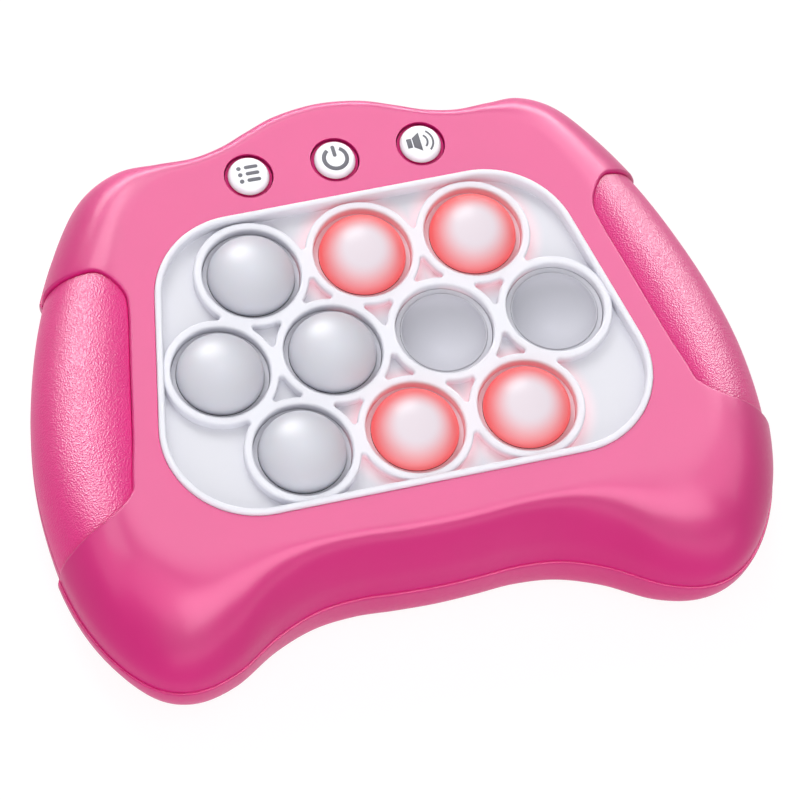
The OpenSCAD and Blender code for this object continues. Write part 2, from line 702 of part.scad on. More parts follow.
// A flat tab against each end wall, with a bent leaf that presses the cell
module battery_contacts() color(metal) for (k = [0 : cell_count - 1], m = [-1, 1]) {
    end = box_in[0] / 2;
    gap = end - cell_l / 2;
    y = box_y + (k - (cell_count - 1) / 2) * cell_step;
    leaf = contact_h / 2;
    translate([0, y + contact_w / 2, cell_z]) rotate([90, 0, 0]) linear_extrude(contact_w)
        polygon([for (p = [[end, -contact_h], [end, contact_h], [end - contact_t, contact_h],
            [end - contact_t, -1.5 * leaf], [end - gap + contact_t, 0], [end - gap + contact_t, leaf],
            [end - gap, leaf], [end - gap, -contact_t], [end - contact_t, -contact_h]])
            [m * p[0], p[1]]]);
}

module speaker() color(black) translate([0, speaker_y, floor_t]) rotate_extrude() {
    r = speaker_d / 2;
    in_r = r - cone_rim;
    polygon([[0, cone_h / 2], [magnet_r / 2, cone_h / 2], [in_r, speaker_flange_t / 2], [in_r, 0], [r, 0],
        [r, speaker_flange_t], [r - cone_rim / 2, speaker_flange_t], [magnet_r + cone_rim / 2, cone_h],
        [magnet_r, cone_h], [magnet_r, speaker_h], [0, speaker_h]]);
}

module case_screws() color(metal) at_each(case_places)
    screw(screw_d, screw_head_d, head_h, case_seat, parting_z + case_pilot - pilot_end);

module frame_screws() color(metal) at_each(frame_places)
    screw(small_screw_d, small_head_d, small_head_h, frame_z, deck_under - 0.6);

module board_screws() color(metal) at_each(posts)
    screw(small_screw_d, small_head_d, small_head_h, board_z, board_top + small_pilot - pilot_end);

module button_board_screws() color(metal) at_each(button_posts)
    screw(small_screw_d, small_head_d, small_head_h, button_board_top - board_t,
        button_board_top + small_pilot - pilot_end);

front_shell();
rear_shell();
left_grip();
right_grip();
panel_bezel();
bubble_sheet();
standing(1);  // bubble_1
standing(2);  // bubble_2
standing(3);  // bubble_3
standing(4);  // bubble_4
standing(5);  // bubble_5
pushed(6);  // bubble_6
pushed(7);  // bubble_7
standing(8);  // bubble_8
standing(9);  // bubble_9
standing(10);  // bubble_10
light_frame();
main_board();
bubble_lamps();
bubble_switches();
menu_button();
power_button();
sound_button();
button_board();
button_switches();
battery_door();
door_screws();
batteries();
battery_contacts();
speaker();
case_screws();
frame_screws();
board_screws();
button_board_screws();
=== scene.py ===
"""Looks of a handheld push-the-bubbles game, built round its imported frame.

Shapes are made in millimetres: x to the right, y away from the player and z up from the resting face.
They are scaled to metres when they become objects.
"""

import functools
import math

import bmesh
import bpy
from bpy.props import FloatProperty, FloatVectorProperty, PointerProperty
from mathutils import Matrix, Vector


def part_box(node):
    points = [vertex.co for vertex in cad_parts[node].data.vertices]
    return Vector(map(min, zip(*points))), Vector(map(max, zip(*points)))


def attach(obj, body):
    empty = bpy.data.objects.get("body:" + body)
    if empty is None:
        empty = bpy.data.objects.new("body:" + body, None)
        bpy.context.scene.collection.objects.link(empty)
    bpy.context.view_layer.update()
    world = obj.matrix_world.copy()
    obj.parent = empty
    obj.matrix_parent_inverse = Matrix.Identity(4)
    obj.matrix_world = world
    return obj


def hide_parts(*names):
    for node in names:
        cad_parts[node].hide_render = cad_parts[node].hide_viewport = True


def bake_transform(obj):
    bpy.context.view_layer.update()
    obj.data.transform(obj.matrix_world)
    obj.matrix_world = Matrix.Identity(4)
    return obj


bl_info = {
    "name": "Push Bubble Game",
    "version": (1, 0, 0),
    "blender": (4, 5, 0),
    "location": "View3D > Sidebar > Push Bubble Game",
    "description": "Case, grips, panel, bubbles and buttons of a handheld push bubble game",
    "category": "Add Mesh",
}

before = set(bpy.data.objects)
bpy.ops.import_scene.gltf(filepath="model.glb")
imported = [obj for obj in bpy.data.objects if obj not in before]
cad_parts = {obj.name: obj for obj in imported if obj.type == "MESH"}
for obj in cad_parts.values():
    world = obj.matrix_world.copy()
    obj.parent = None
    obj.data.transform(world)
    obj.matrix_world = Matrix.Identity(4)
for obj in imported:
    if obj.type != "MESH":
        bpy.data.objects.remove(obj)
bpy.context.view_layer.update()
MM = 0.001
UP = Vector((0, 0, 1))
QUARTER = math.pi / 2
TURN = 2 * math.pi
WHITE = (1, 1, 1, 1)

# Stations round the right half of the case, from the middle of the hump to the middle of the front:
# parting line x, y; deck edge x, y; corner reach; corner fullness; rear rounding
STATIONS = (
    (0, 62.7, 0, 57.6, 1, 0.72, 11),
    (10, 61.5, 9, 56.5, 1, 0.72, 11),
    (17.4, 58.9, 16.4, 53.8, 1, 0.72, 11),
    (23.4, 56.5, 22.8, 51.3, 1, 0.72, 11),
    (30, 55.3, 30, 49.8, 1, 0.7, 11),
    (38, 56.4, 37, 48.9, 1, 0.66, 11),
    (46.4, 57.9, 42.2, 46.4, 1, 0.6, 12),
    (54.7, 54.3, 46.2, 42.2, 1, 0.57, 12),
    (61.8, 45.5, 49.3, 36, 1, 0.55, 12),
    (68.7, 32.7, 52, 28.6, 1, 0.55, 12),
    (73.9, 19.7, 53, 19.2, 1, 0.55, 12),
    (78.3, 4, 56.2, 4.5, 1, 0.55, 12),
    (80.7, -12, 59.6, -11, 1, 0.55, 12),
    (80.4, -29, 62.7, -24.5, 1, 0.55, 12),
    (77.6, -43, 61.2, -33.5, 0.98, 0.55, 12),
    (72.2, -54.1, 57, -38.2, 0.96, 0.55, 12),
    (65.2, -61.2, 52.6, -40.4, 0.94, 0.55, 9),
    (57, -63.4, 48, -41, 0.9, 0.56, 7),
    (47.4, -60.9, 43, -41, 0.8, 0.6, 5),
    (37, -54.7, 36, -41.4, 0.64, 0.7, 3.6),
    (27.4, -51, 27.4, -41.6, 0.54, 0.78, 3),
    (18, -50, 18, -41.6, 0.52, 0.83, 3),
    (9, -50.5, 9, -42, 0.52, 0.85, 3),
    (0, -50.8, 0, -42.2, 0.52, 0.85, 3),
)
LAST = len(STATIONS) - 1
COLUMNS_PER_STATION = 10
WALL_ROWS, CORNER_ROWS, REAR_ROWS = 18, 14, 18
PROFILE_LENGTH = 34.0
REAR_FULL, REAR_FULL_FALL = 0.84, 0.02
# How far the drawn case lies inside the solid, and the distance at which points are one
SKIN, WELD = 0.04, 1e-3

# Share of the profile and inset of the points where each half turns from its lip into its wall,
# the first shares of the walls, and the shares over which steps in the walls run out
SEAM_LIP = 1.2
FRONT_LIP = ((0, SEAM_LIP), (0, 0.08), (0.003, 0.02))
REAR_LIP = ((0, SEAM_LIP), (0, 0.35), (0.003, 0.105))
FRONT_FIRST, REAR_FIRST = 0.012, (0.01, 0.05)
SEAM_STEP_SHARE, GRIP_STEP_SHARE, GRIP_STEP_BLEND = 0.2, 0.7, 0.1

# Grips: stations at their ends, rounding of the upper corners, recess and pad
GRIP_FROM, GRIP_TO = 8.95, 13.15
GRIP_CORNER_FROM, GRIP_CORNER_TO, CORNER_START = 0.95, -0.3, 0.7
GRIP_COLUMNS = round((GRIP_TO - GRIP_FROM) * COLUMNS_PER_STATION)
RECESS, RECESS_LEDGE = 2.2, 1.0
GRIP_STEP, GRIP_EDGE_R, GRIP_PLAY, GRIP_FLOOR_PLAY = 1.0, 0.3, 0.06, 0.02
GRIP_FIRST, GRIP_MIDDLE_Z, GRIP_WALL = 0.018, 22, 0.5 * MM

# Underside: battery door and bay, screws, their pockets, and grille
DOOR_CORNER, DOOR_GAP, DOOR_EDGE_R, DOOR_FLOOR = 3.0, 0.3, 0.35, 0.7
DOOR_POCKET_EDGE, DOOR_HOLE_R = ((3.2, 0), (3.05, 0.1), (3.0, 0.25)), 1.7
GROOVES, GROOVE_PITCH, GROOVE_DEPTH = 4, 4.0, 0.6
BAY_EDGE_R, BAY_CORNER, LEDGE_Z, ROOF_Z, CELL_PLAY = 0.25, 0.4, 2.05, 13.2, 1.3
PILOT_R, PILOT_TOP = 1.6, 9.0
POCKET_R, POCKET_EDGE_R, POCKET_DEPTH = 3.0, 0.3, 5.0
HEAD_R, HEAD_EDGE_R, SHANK_R, POINT_R = 2.8, 0.35, 1.5, 0.5
HEAD_HEIGHTS = {"door_screws": 1.1, "case_screws": 2.0}
CROSS_ARM, CROSS_HALF, CROSS_DEPTH, CROSS_TAPER = 1.45, 0.36, 0.8, 0.8
SCREW_SPACING = 7.0
GRILLE_R, GRILLE_PITCH = 0.9, 4.0
GRILLE_PROFILE = ((0.25, 0), (0.07, 0.07), (0, 0.25), (0, 2.3))

# Panel: corner centres and radius, the play round it, and how deep rim and rings reach into its floor
PANEL_LOW, PANEL_HIGH, PANEL_R, PANEL_GAP = Vector((34.4, -15.1)), Vector((27.4, 16.2)), 20.0, 0.03
PANEL_CORNER_STEPS, HOLE_STEPS, RING_STEPS = 20, 64, 72
RIM_ROOT, RING_ROOT, HOLE_DEPTH = 0.4, 0.3, 2.2
RING_HOLE_R, RING_R, WEB_FILLET = 10.7, 12.6, 0.6
PITCH = 25.0

# Bubbles: which are lit and pushed in, their dishes and nubs, the spot of painted sheen on the bubbles as a
# share of the radius, and the rings round the outside and round each gap
BUBBLES = tuple(range(1, 11))
LIT = (2, 3, 9, 10)
PUSHED = (6, 7)
DISH_RIM, DISH_DEPTH = 0.3, 4.8
NUB_R, NUB_EDGE, NUB_LENGTH = 2, 0.4, 2
# Centre of the painted sheen and shade on the bubbles, set off the axis towards the front
PAINTED_SHEEN_SPOT = (-0.07, -0.15)
OUTER_RINGS = (1, 4, 8, 9, 10, 7, 3, 2)
RING_TRIANGLES = ((1, 4, 5), (1, 5, 2), (2, 5, 6), (2, 6, 3), (3, 6, 7),
                  (4, 8, 5), (5, 8, 9), (5, 9, 6), (6, 9, 10), (6, 10, 7))

# Buttons: holes, drops below the deck, room under the stem, and radii
BUTTONS = ("menu_button", "power_button", "sound_button")
BUTTON_HOLE_R, CARRIER_DROP, COLLAR_DROP, PRESS_ROOM = 5.4, 0.5, 0.95, 0.1
FLANGE_TOP, FLANGE_BASE = 2.3, 3.9
CAP_R, CAP_EDGE, COLLAR_R, FLANGE_R, STEM_R = 4.55, 1.3, 5.2, 6.2, 1.6
SIGN_RISE, SIGN_WALL = 0.03, 0.1 * MM

# Noise values between which colour and sheen drift, and the angle above which an edge is sharp
DRIFT, SHARP_ANGLE = (0.3, 0.7), math.radians(40)

# Pieces that a lamp of this kind gives a highlight to, and nothing else
HIGHLIGHTS = {
    "case": ("front_case", "rear_case", "ring_panel", "menu_cap", "power_cap", "sound_cap"),
    "grips": ("left_pad", "right_pad"),
    "domes": tuple(f"bubble_skin_{k}" for k in BUBBLES if k not in LIT + PUSHED),
}
LAMP_AIM = Vector((0, 0, 0.02))
# Name, place, size and watts of each lamp, and whether it lights all, lights without a mirror image,
# or gives one kind of highlight
LAMPS = (
    ("key", (-0.05, 0.75, 0.62), (0.6, 0.45), 4.7, "all"),
    ("front", (-0.25, -0.83, 0.52), (1.0, 0.7), 4.9, "fill"),
    ("softbox", (0.2, 0.32, 0.9), (0.9, 0.8), 19.5, "case"),
    ("ridge", (0.15, -0.5, 0.82), (0.9, 0.6), 20.0, "case"),
    ("lobe", (-0.4, -0.3, 0.85), (0.6, 0.7), 7.8, "case"),
    ("strip", (0.1, 0.85, 0.14), (1.4, 0.2), 20.0, "case"),
    ("back_left", (-0.36, 0.7, 0.62), (0.5, 0.4), 9.0, "case"),
    ("back_right", (0.76, 0.5, 0.3), (0.5, 0.3), 6.5, "case"),
    ("left_band", (-0.63, 0.63, 0.46), (0.3, 0.45), 33.0, "grips"),
    ("right_band", (0.78, 0.54, 0.3), (0.4, 0.3), 20.0, "grips"),
    ("left_corner", (-0.86, 0.02, 0.5), (0.5, 0.5), 4.0, "case"),
    ("right_corner", (0.76, -0.1, 0.6), (0.5, 0.6), 6.5, "case"),
    ("low_front", (0.2, -0.96, 0.16), (1.7, 0.3), 5.0, "case"),
    ("left_high", (-0.62, 0.24, 0.74), (0.35, 0.35), 3.5, "case"),
    ("right_high", (0.6, 0.5, 0.6), (0.5, 0.4), 7.0, "case"),
    ("crowns", (-0.15, 0.9, 0.45), (0.5, 0.35), 5.0, "domes"),
)
WORLD_LEVEL = 0.53
FLOOR_HALF, FLOOR_DROP, FLOOR_GLOW, FLOOR_SHADE = 2.5, 0.2 * MM, 0.86, (0.2, 0.2, 0.2, 1)


@functools.lru_cache(maxsize=None)
def box_mm(node):
    """Lowest and highest corner of a CAD node, worked out once."""
    low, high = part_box(node)
    return low / MM, high / MM


def centre_of(node):
    low, high = box_mm(node)
    return ((low + high) / 2).xy


def size_of(node):
    low, high = box_mm(node)
    return high - low


def bubble_centre(k):
    return centre_of(f"bubble_{k}")


def lerp(a, b, t):
    return a + (b - a) * t


def spread(start, end, count):
    """Values from start to end in equal steps, with both ends."""
    return [lerp(start, end, i / count) for i in range(count + 1)]


def smooth(t):
    t = min(1.0, max(0.0, t))
    return t * t * (3 - 2 * t)


def srgb(red, green, blue):
    """A colour given in 0 to 255, as the linear values that shaders take."""
    def linear(value):
        value /= 255
        return value / 12.92 if value <= 0.04045 else ((value + 0.055) / 1.055) ** 2.4
    return linear(red), linear(green), linear(blue)


# Sizes and colours that a user would change


def length_property(name, description, default, **limits):
    return FloatProperty(name=name, description=description, default=default, unit="LENGTH", **limits)


def colour_property(name, description, default):
    return FloatVectorProperty(name=name, description=description, default=default, subtype="COLOR")


def angle_property(name, description, degrees):
    return FloatProperty(name=name, description=description, default=math.radians(degrees), subtype="ANGLE")


class CaseLook(bpy.types.PropertyGroup):
    deck_height: length_property("Deck height", "Height of the flat deck above the resting face",
                                 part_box("front_shell")[1].z, min=0.02, max=0.05)
    seam_height: length_property("Seam height", "Height of the parting line between the case halves",
                                 0.012, min=0.008, max=0.016)
    seam_gap: length_property("Seam gap", "Open groove at the parting line", 0.00004)
    seam_step: length_property("Seam step", "Ledge of the lower half at the parting line", 0.0005)
    edge_radius: length_property("Edge radius", "Rounding round the grips' recesses", 0.0006)
    hole_radius: length_property("Hole radius", "Rounding of the openings in the deck", 0.00012)
    wall: length_property("Wall", "Thickness of the case walls that are drawn", 0.0012)
    pink: colour_property("Pink", "Colour of the case", srgb(198, 20, 113))
    grip_pink: colour_property("Grip pink", "Colour of the grips", srgb(221, 32, 127))


class PanelLook(bpy.types.PropertyGroup):
    rim_width: length_property("Rim width", "Width of the rim round the panel", 0.0015)
    ring_height: length_property("Ring height", "Height of the rings above the panel floor", 0.0024)
    edge_radius: length_property("Edge radius", "Rounding of the rings and the rim", 0.0006)
    white: colour_property("White", "Colour of the panel", srgb(217, 217, 225))


class BubbleLook(bpy.types.PropertyGroup):
    wall: length_property("Wall", "Wall of a bubble", 0.0011)
    silicone: colour_property("Silicone", "Colour of an unlit bubble", srgb(208, 208, 217))
    # Colour and strength of the painted glow on the lit bubbles, and round them on panel and sheet
    glow: colour_property("Glow", "Colour of a lit bubble at its edge", srgb(202, 60, 63))
    glow_strength: FloatProperty(
        name="Glow strength", description="How brightly a lit bubble shines", default=0.9, min=0.0, max=5.0)


class ButtonLook(bpy.types.PropertyGroup):
    crown: length_property("Crown", "Height of the swelling on a button cap", 0.0004)
    white: colour_property("White", "Colour of the button caps", srgb(232, 232, 238))
    ink: colour_property("Ink", "Colour of the signs on the caps", srgb(112, 112, 120))


class StageLook(bpy.types.PropertyGroup):
    azimuth: angle_property("Azimuth", "Camera's turn round the object", -27.30987524)
    elevation: angle_property("Elevation", "Camera's height above the horizon", 62.3765298)
    roll: angle_property("Roll", "Camera's turn about its own axis", -13.39961027)
    place: FloatVectorProperty(
        name="Place", description="Camera's place", subtype="TRANSLATION", unit="LENGTH",
        default=(-0.25133, -0.49827, 1.07191))
    lens: FloatProperty(name="Lens", description="Focal length in millimetres", default=247.08)
    floor: colour_property("Floor", "Colour of the floor", (0.9, 0.9, 0.9))


# Mesh helpers


def row_pairs(row, closed):
    pairs = list(zip(row, row[1:]))
    return pairs + [(row[-1], row[0])] if closed else pairs


def row_edges(bm, row, closed=False):
    return [bm.edges.get(pair) for pair in row_pairs(row, closed)]


def wire(bm, points, closed=False):
    """A row of vertices joined by edges."""
    row = [bm.verts.new(point) for point in points]
    for pair in row_pairs(row, closed):
        bm.edges.new(pair)
    return row


def extrude_row(bm, row, points, closed=False):
    """Extrudes a row of vertices and puts the new row at the points."""
    made = bmesh.ops.extrude_edge_only(bm, edges=row_edges(bm, row, closed))["geom"]
    fresh = {item for item in made if isinstance(item, bmesh.types.BMVert)}
    twins = []
    for vert, point in zip(row, points):
        twin = next(e.other_vert(vert) for e in vert.link_edges if e.other_vert(vert) in fresh)
        twin.co = point
        twins.append(twin)
    return twins


def loft(bm, rows, closed=False):
    """A skin through rows of points. Returns the rows of vertices."""
    made = [wire(bm, rows[0], closed)]
    for points in rows[1:]:
        made.append(extrude_row(bm, made[-1], points, closed))
    return made


def at_height(points, z):
    return [Vector((p[0], p[1], z)) for p in points]


def tube(bm, levels):
    """A skin through closed loops, each given as points and a height. Returns its first and last edges."""
    rows = loft(bm, [at_height(points, z) for points, z in levels], closed=True)
    return row_edges(bm, rows[0], closed=True), row_edges(bm, rows[-1], closed=True)


def well(bm, trace, radius, z, bottom, steps=4):
    """A wall from a rounded mouth at height z to the bottom; trace(grow) gives its outline.

    Returns the edges of the mouth and those of the bottom.
    """
    way = 1 if bottom > z else -1
    levels = [(trace(radius - inset), z + way * drop) for inset, drop in rounding(radius, steps)]
    return tube(bm, levels + [(trace(0), bottom)])


def fill(bm, edges):
    """Flat faces inside the outermost loop of edges and outside the loops within it."""
    bmesh.ops.triangle_fill(bm, use_beauty=True, use_dissolve=False, edges=edges)


def mirror_half(bm, z):
    """Adds the left half. Returns the open edges at a height."""
    bmesh.ops.mirror(bm, geom=bm.verts[:] + bm.edges[:] + bm.faces[:], axis="X", merge_dist=WELD)
    return [e for e in bm.edges if e.is_boundary and all(abs(v.co.z - z) < WELD for v in e.verts)]


def clean(bm, outward=None):
    """Merges doubles and points the faces outwards; outward(bm) says whether they do."""
    bmesh.ops.remove_doubles(bm, verts=bm.verts, dist=0.1 * WELD)
    bmesh.ops.recalc_face_normals(bm, faces=bm.faces)
    bm.normal_update()
    if outward is not None and not outward(bm):
        bmesh.ops.reverse_faces(bm, faces=bm.faces)


def top_faces_up(bm):
    top = max(bm.faces, key=lambda face: face.calc_center_median().z + face.calc_area() * 1e-6)
    return top.normal.z > 0


def base_faces_down(bm):
    base = min(bm.faces, key=lambda face: face.calc_center_median().z - face.calc_area() * 1e-6)
    return base.normal.z < 0


def lathe(bm, profile, centre, steps):
    """Spins a profile of radius and height about the upright axis through centre."""
    origin = Vector((centre[0], centre[1], 0))
    row = wire(bm, [origin + Vector((r, 0, z)) for r, z in profile])
    bmesh.ops.spin(bm, geom=row + row_edges(bm, row), cent=origin, axis=UP, angle=TURN,
                   steps=steps, use_merge=True)


def make_piece(name, bm, finishes, body, replaces, wall=None):
    """Turns a bmesh in millimetres into an object that rides on a body, if one is given."""
    bmesh.ops.scale(bm, vec=Vector((MM, MM, MM)), verts=bm.verts)
    mesh = bpy.data.meshes.new(name)
    bm.to_mesh(mesh)
    bm.free()
    for finish in finishes:
        mesh.materials.append(material(finish))
    mesh.shade_smooth()
    mesh.set_sharp_from_angle(angle=SHARP_ANGLE)
    piece = bpy.data.objects.new(name, mesh)
    bpy.context.scene.collection.objects.link(piece)
    if wall:
        solid = piece.modifiers.new("Wall", "SOLIDIFY")
        solid.thickness = wall
        solid.offset = -1
    if body:
        even = piece.modifiers.new("Even shading", "WEIGHTED_NORMAL")
        even.keep_sharp = True
    if replaces:
        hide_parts(*replaces)
    if body:
        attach(piece, body)
    return piece


def arc(centre, radius, start, end, count):
    """Points on a circle from one angle to another, with both ends."""
    return [Vector((centre[0] + radius * math.cos(a), centre[1] + radius * math.sin(a)))
            for a in spread(start, end, count)]


def circle(centre, radius, count):
    return arc(centre, radius, 0, TURN, count)[:-1]


def hole_loop(centre, radius, count, grow):
    return circle(centre, radius + grow, count)


def rounding(radius, steps=4):
    """Inset and drop along a quarter round, from the flat to the wall."""
    return [(radius * math.sin(a), radius * (1 - math.cos(a))) for a in spread(0, QUARTER, steps)]


def round_box(size, radius, centre=(0, 0), count=8):
    """A rectangle with round corners, counter-clockwise."""
    points = []
    for k, (sx, sy) in enumerate(((1, 1), (-1, 1), (-1, -1), (1, -1))):
        corner = (centre[0] + sx * (size[0] / 2 - radius), centre[1] + sy * (size[1] / 2 - radius))
        points += arc(corner, radius, k * QUARTER, (k + 1) * QUARTER, count)
    return points


def door_loop(grow):
    """The battery door's outline, grown all round."""
    size = size_of("battery_door")
    return round_box((size.x + 2 * grow, size.y + 2 * grow), DOOR_CORNER + grow, centre_of("battery_door"))


# Case form, as in the part's source


def flipped(row):
    return (-row[0], row[1], -row[2]) + row[3:]


def station(i):
    if i < 0:
        return flipped(STATIONS[-i])
    if i > LAST:
        return flipped(STATIONS[2 * LAST - i])
    return STATIONS[i]


@functools.lru_cache(maxsize=None)
def outline(u):
    """The values of a station at any place between stations, on a smooth curve through them."""
    i = min(int(math.floor(u)), LAST - 1)
    t = u - i
    return tuple(
        (2 * b + (c - a) * t + (2 * a - 5 * b + 4 * c - d) * t ** 2 + (3 * b - a - 3 * c + d) * t ** 3) / 2
        for a, b, c, d in zip(station(i - 1), station(i), station(i + 1), station(i + 2)))


def bezier(a, b, c, d, t):
    """Point and unit normal of a flat cubic curve; the normal is on the right of its way."""
    point = a * (1 - t) ** 3 + b * 3 * t * (1 - t) ** 2 + c * 3 * t * t * (1 - t) + d * t ** 3
    way = (b - a) * (1 - t) ** 2 + (c - b) * 2 * t * (1 - t) + (d - c) * t * t
    return point, Vector((way.y, -way.x)).normalized()


def grip_edges(form, v, grow):
    """Where the right grip's two edges cross the profile at v, moved outwards by grow millimetres."""
    top = 1 + grow / PROFILE_LENGTH
    x = max(0.0, v - CORNER_START) / (top - CORNER_START)
    cut = 1 - math.sqrt(max(0.0, 1 - x * x))
    grow_from = grow / form.across(GRIP_FROM, min(v, 1))
    grow_to = grow / form.across(GRIP_TO, min(v, 1))
    return (GRIP_FROM - grow_from + (GRIP_CORNER_FROM + grow_from) * cut,
            GRIP_TO + grow_to + (GRIP_CORNER_TO - grow_to) * cut)


class CaseForm:
    """The case's outer surfaces, from the stations."""

    def __init__(self, look):
        self.deck_z = look.deck_height / MM
        self.seam_top = (look.seam_height + look.seam_gap / 2) / MM
        self.seam_bottom = (look.seam_height - look.seam_gap / 2) / MM

    def front(self, u, v, inset=0.0):
        """A point of the upper half: v from the parting line up to the deck edge."""
        px, py, qx, qy, reach_share, full, _ = outline(u)
        side = Vector((px - qx, py - qy))
        reach = side.length
        side /= reach
        low, high = Vector((reach, self.seam_top)), Vector((0, self.deck_z))
        corner = Vector((reach_share * reach, self.deck_z))
        point, normal = bezier(low, low.lerp(corner, full), high.lerp(corner, full), high, v)
        point -= normal * inset
        point.x -= SKIN * (1 - v)
        return Vector((qx + side.x * point.x, qy + side.y * point.x, point.y))

    def over(self, u, v, inset=0.0):
        """A point of the upper half that runs on over the deck where v is past 1."""
        if v <= 1:
            return self.front(u, v, inset)
        px, py, qx, qy = outline(u)[:4]
        inward = Vector((qx - px, qy - py)).normalized() * (v - 1) * PROFILE_LENGTH
        return Vector((qx + inward.x, qy + inward.y, self.deck_z - inset))

    def rear(self, u, w, inset=0.0):
        """A point of the lower half: w from the parting line down to the resting face."""
        px, py, qx, qy, _, _, rounding_in = outline(u)
        side = Vector((px - qx, py - qy)).normalized()
        full = REAR_FULL - REAR_FULL_FALL * rounding_in
        low, high, corner = Vector((0, self.seam_bottom)), Vector((rounding_in, 0)), Vector((0, 0))
        point, normal = bezier(low, low.lerp(corner, full), high.lerp(corner, full), high, w)
        point -= normal * inset
        point.x += SKIN
        return Vector((px - side.x * point.x, py - side.y * point.x, point.y))

    def normal(self, u, v):
        return (self.over(u, v) - self.over(u, v, 1.0)).normalized()

    def across(self, u, v, near=0.01):
        """Millimetres that one station spans here."""
        return (self.front(u + near, v) - self.front(u - near, v)).length / (2 * near)


def edge_frames(points, normals, closed):
    """At each point of a path on a surface, the direction square to the path and in the surface."""
    sides = []
    count = len(points)
    for i in range(count):
        before = points[i - 1] if closed or i else points[0]
        after = points[(i + 1) % count] if closed or i < count - 1 else points[-1]
        sides.append(normals[i].cross(after - before).normalized())
    return sides


def roll_edge(bm, form, path, places, radius, further, towards, closed=False):
    """Rolls a skin's edge over along a quarter round and further insets and drops.

    The edge's first vertex goes the way that towards points.
    """
    points = [vert.co.copy() for vert in path]
    normals = [form.normal(u, v) for u, v in places]
    sides = edge_frames(points, normals, closed)
    if sides[0].dot(towards) < 0:
        sides = [-side for side in sides]
    for inset, drop in rounding(radius)[1:] + further:
        moved = [p + s * inset - n * drop for p, s, n in zip(points, sides, normals)]
        path = extrude_row(bm, path, moved, closed)


def front_rows(top):
    """Shares of the profile up to top, closer together where a grip's corners turn."""
    corner = [lerp(CORNER_START, top, math.sin(a)) for a in spread(0, QUARTER, CORNER_ROWS)]
    return spread(0, CORNER_START, WALL_ROWS)[:-1] + corner


def front_walls(bm, form, radius, step):
    """Right half of the upper case half's wall, with the recess for a grip."""
    rows = [max(FRONT_FIRST, v) for v in front_rows(1 + radius / PROFILE_LENGTH)]
    edges = [grip_edges(form, v, radius) for v in rows]
    hump_count = round(GRIP_FROM * COLUMNS_PER_STATION)
    front_count = round((LAST - GRIP_TO) * COLUMNS_PER_STATION)

    def strip(places):
        """A stretch of wall with its lip at the parting line. Returns its rows above the lip."""
        lip = [[form.front(u, v, step + inset) for u, _ in places[0]] for v, inset in FRONT_LIP]
        wall = [[form.over(u, v, step * (1 - smooth(v / SEAM_STEP_SHARE))) for u, v in row] for row in places]
        return loft(bm, lip + wall)[len(lip):]

    hump_places = [[(u, v) for u in spread(0, start, hump_count)] for v, (start, _) in zip(rows, edges)]
    front_places = [[(u, v) for u in spread(end, LAST, front_count)] for v, (_, end) in zip(rows, edges)]
    hump, front = strip(hump_places), strip(front_places)
    between = [(u, rows[-1]) for u in spread(*edges[-1], GRIP_COLUMNS)[1:-1]]
    top = wire(bm, [form.over(u, v) for u, v in between])
    bm.edges.new((hump[-1][-1], top[0]))
    bm.edges.new((top[-1], front[-1][0]))
    path = [row[-1] for row in hump] + top + [row[0] for row in reversed(front)]
    places = [row[-1] for row in hump_places] + between + [row[0] for row in reversed(front_places)]
    recess = [(radius, RECESS), (radius + RECESS_LEDGE, RECESS)]
    roll_edge(bm, form, path, places, radius, recess, Vector((0, -1, 0)))


def front_case_mesh(look):
    """Upper case half: walls, deck, openings for panel and buttons, and the grips' recesses."""
    form = CaseForm(look)
    bm = bmesh.new()
    front_walls(bm, form, look.edge_radius / MM, look.seam_step / MM)
    deck = mirror_half(bm, form.deck_z)
    openings = [functools.partial(panel_loop, base=PANEL_GAP)]
    openings += [functools.partial(hole_loop, centre_of(name), BUTTON_HOLE_R, HOLE_STEPS) for name in BUTTONS]
    for opening in openings:
        deck += well(bm, opening, look.hole_radius / MM, form.deck_z, form.deck_z - HOLE_DEPTH)[0]
    fill(bm, deck)
    clean(bm, top_faces_up)
    return bm


def rear_case_mesh(look):
    """Lower case half: rounded tray with battery bay, screw pockets and a grille."""
    form = CaseForm(look)
    bm = bmesh.new()
    columns = [i / COLUMNS_PER_STATION for i in range(LAST * COLUMNS_PER_STATION + 1)]

    def step(u, w):
        """How far the wall is set in below a grip."""
        inside = [smooth(reach / GRIP_STEP_BLEND + 0.5) for reach in (u - GRIP_FROM, GRIP_TO - u)]
        return GRIP_STEP * inside[0] * inside[1] * (1 - smooth(w / GRIP_STEP_SHARE))

    levels = [*REAR_FIRST, *[j / REAR_ROWS for j in range(2, REAR_ROWS + 1)]]
    rows = [[form.rear(u, w, step(u, 0) + inset) for u in columns] for w, inset in REAR_LIP]
    rows += [[form.rear(u, w, step(u, w)) for u in columns] for w in levels]
    loft(bm, rows)
    base = mirror_half(bm, 0) + bay_edges(bm)
    for place in screw_places("case_screws"):
        pocket = functools.partial(hole_loop, place, POCKET_R, 32)
        mouth, floor = well(bm, pocket, POCKET_EDGE_R, 0, POCKET_DEPTH, 3)
        fill(bm, floor)
        base += mouth
    for place in grille_places(centre_of("speaker")):
        base += tube(bm, [(circle(place, GRILLE_R + inset, 20), z) for inset, z in GRILLE_PROFILE])[0]
    fill(bm, base)
    clean(bm, base_faces_down)
    return bm


def grille_places(centre):
    places = [centre]
    for k in (1, 2):
        places += circle(centre, GRILLE_PITCH * k, 6 * k)
    return places


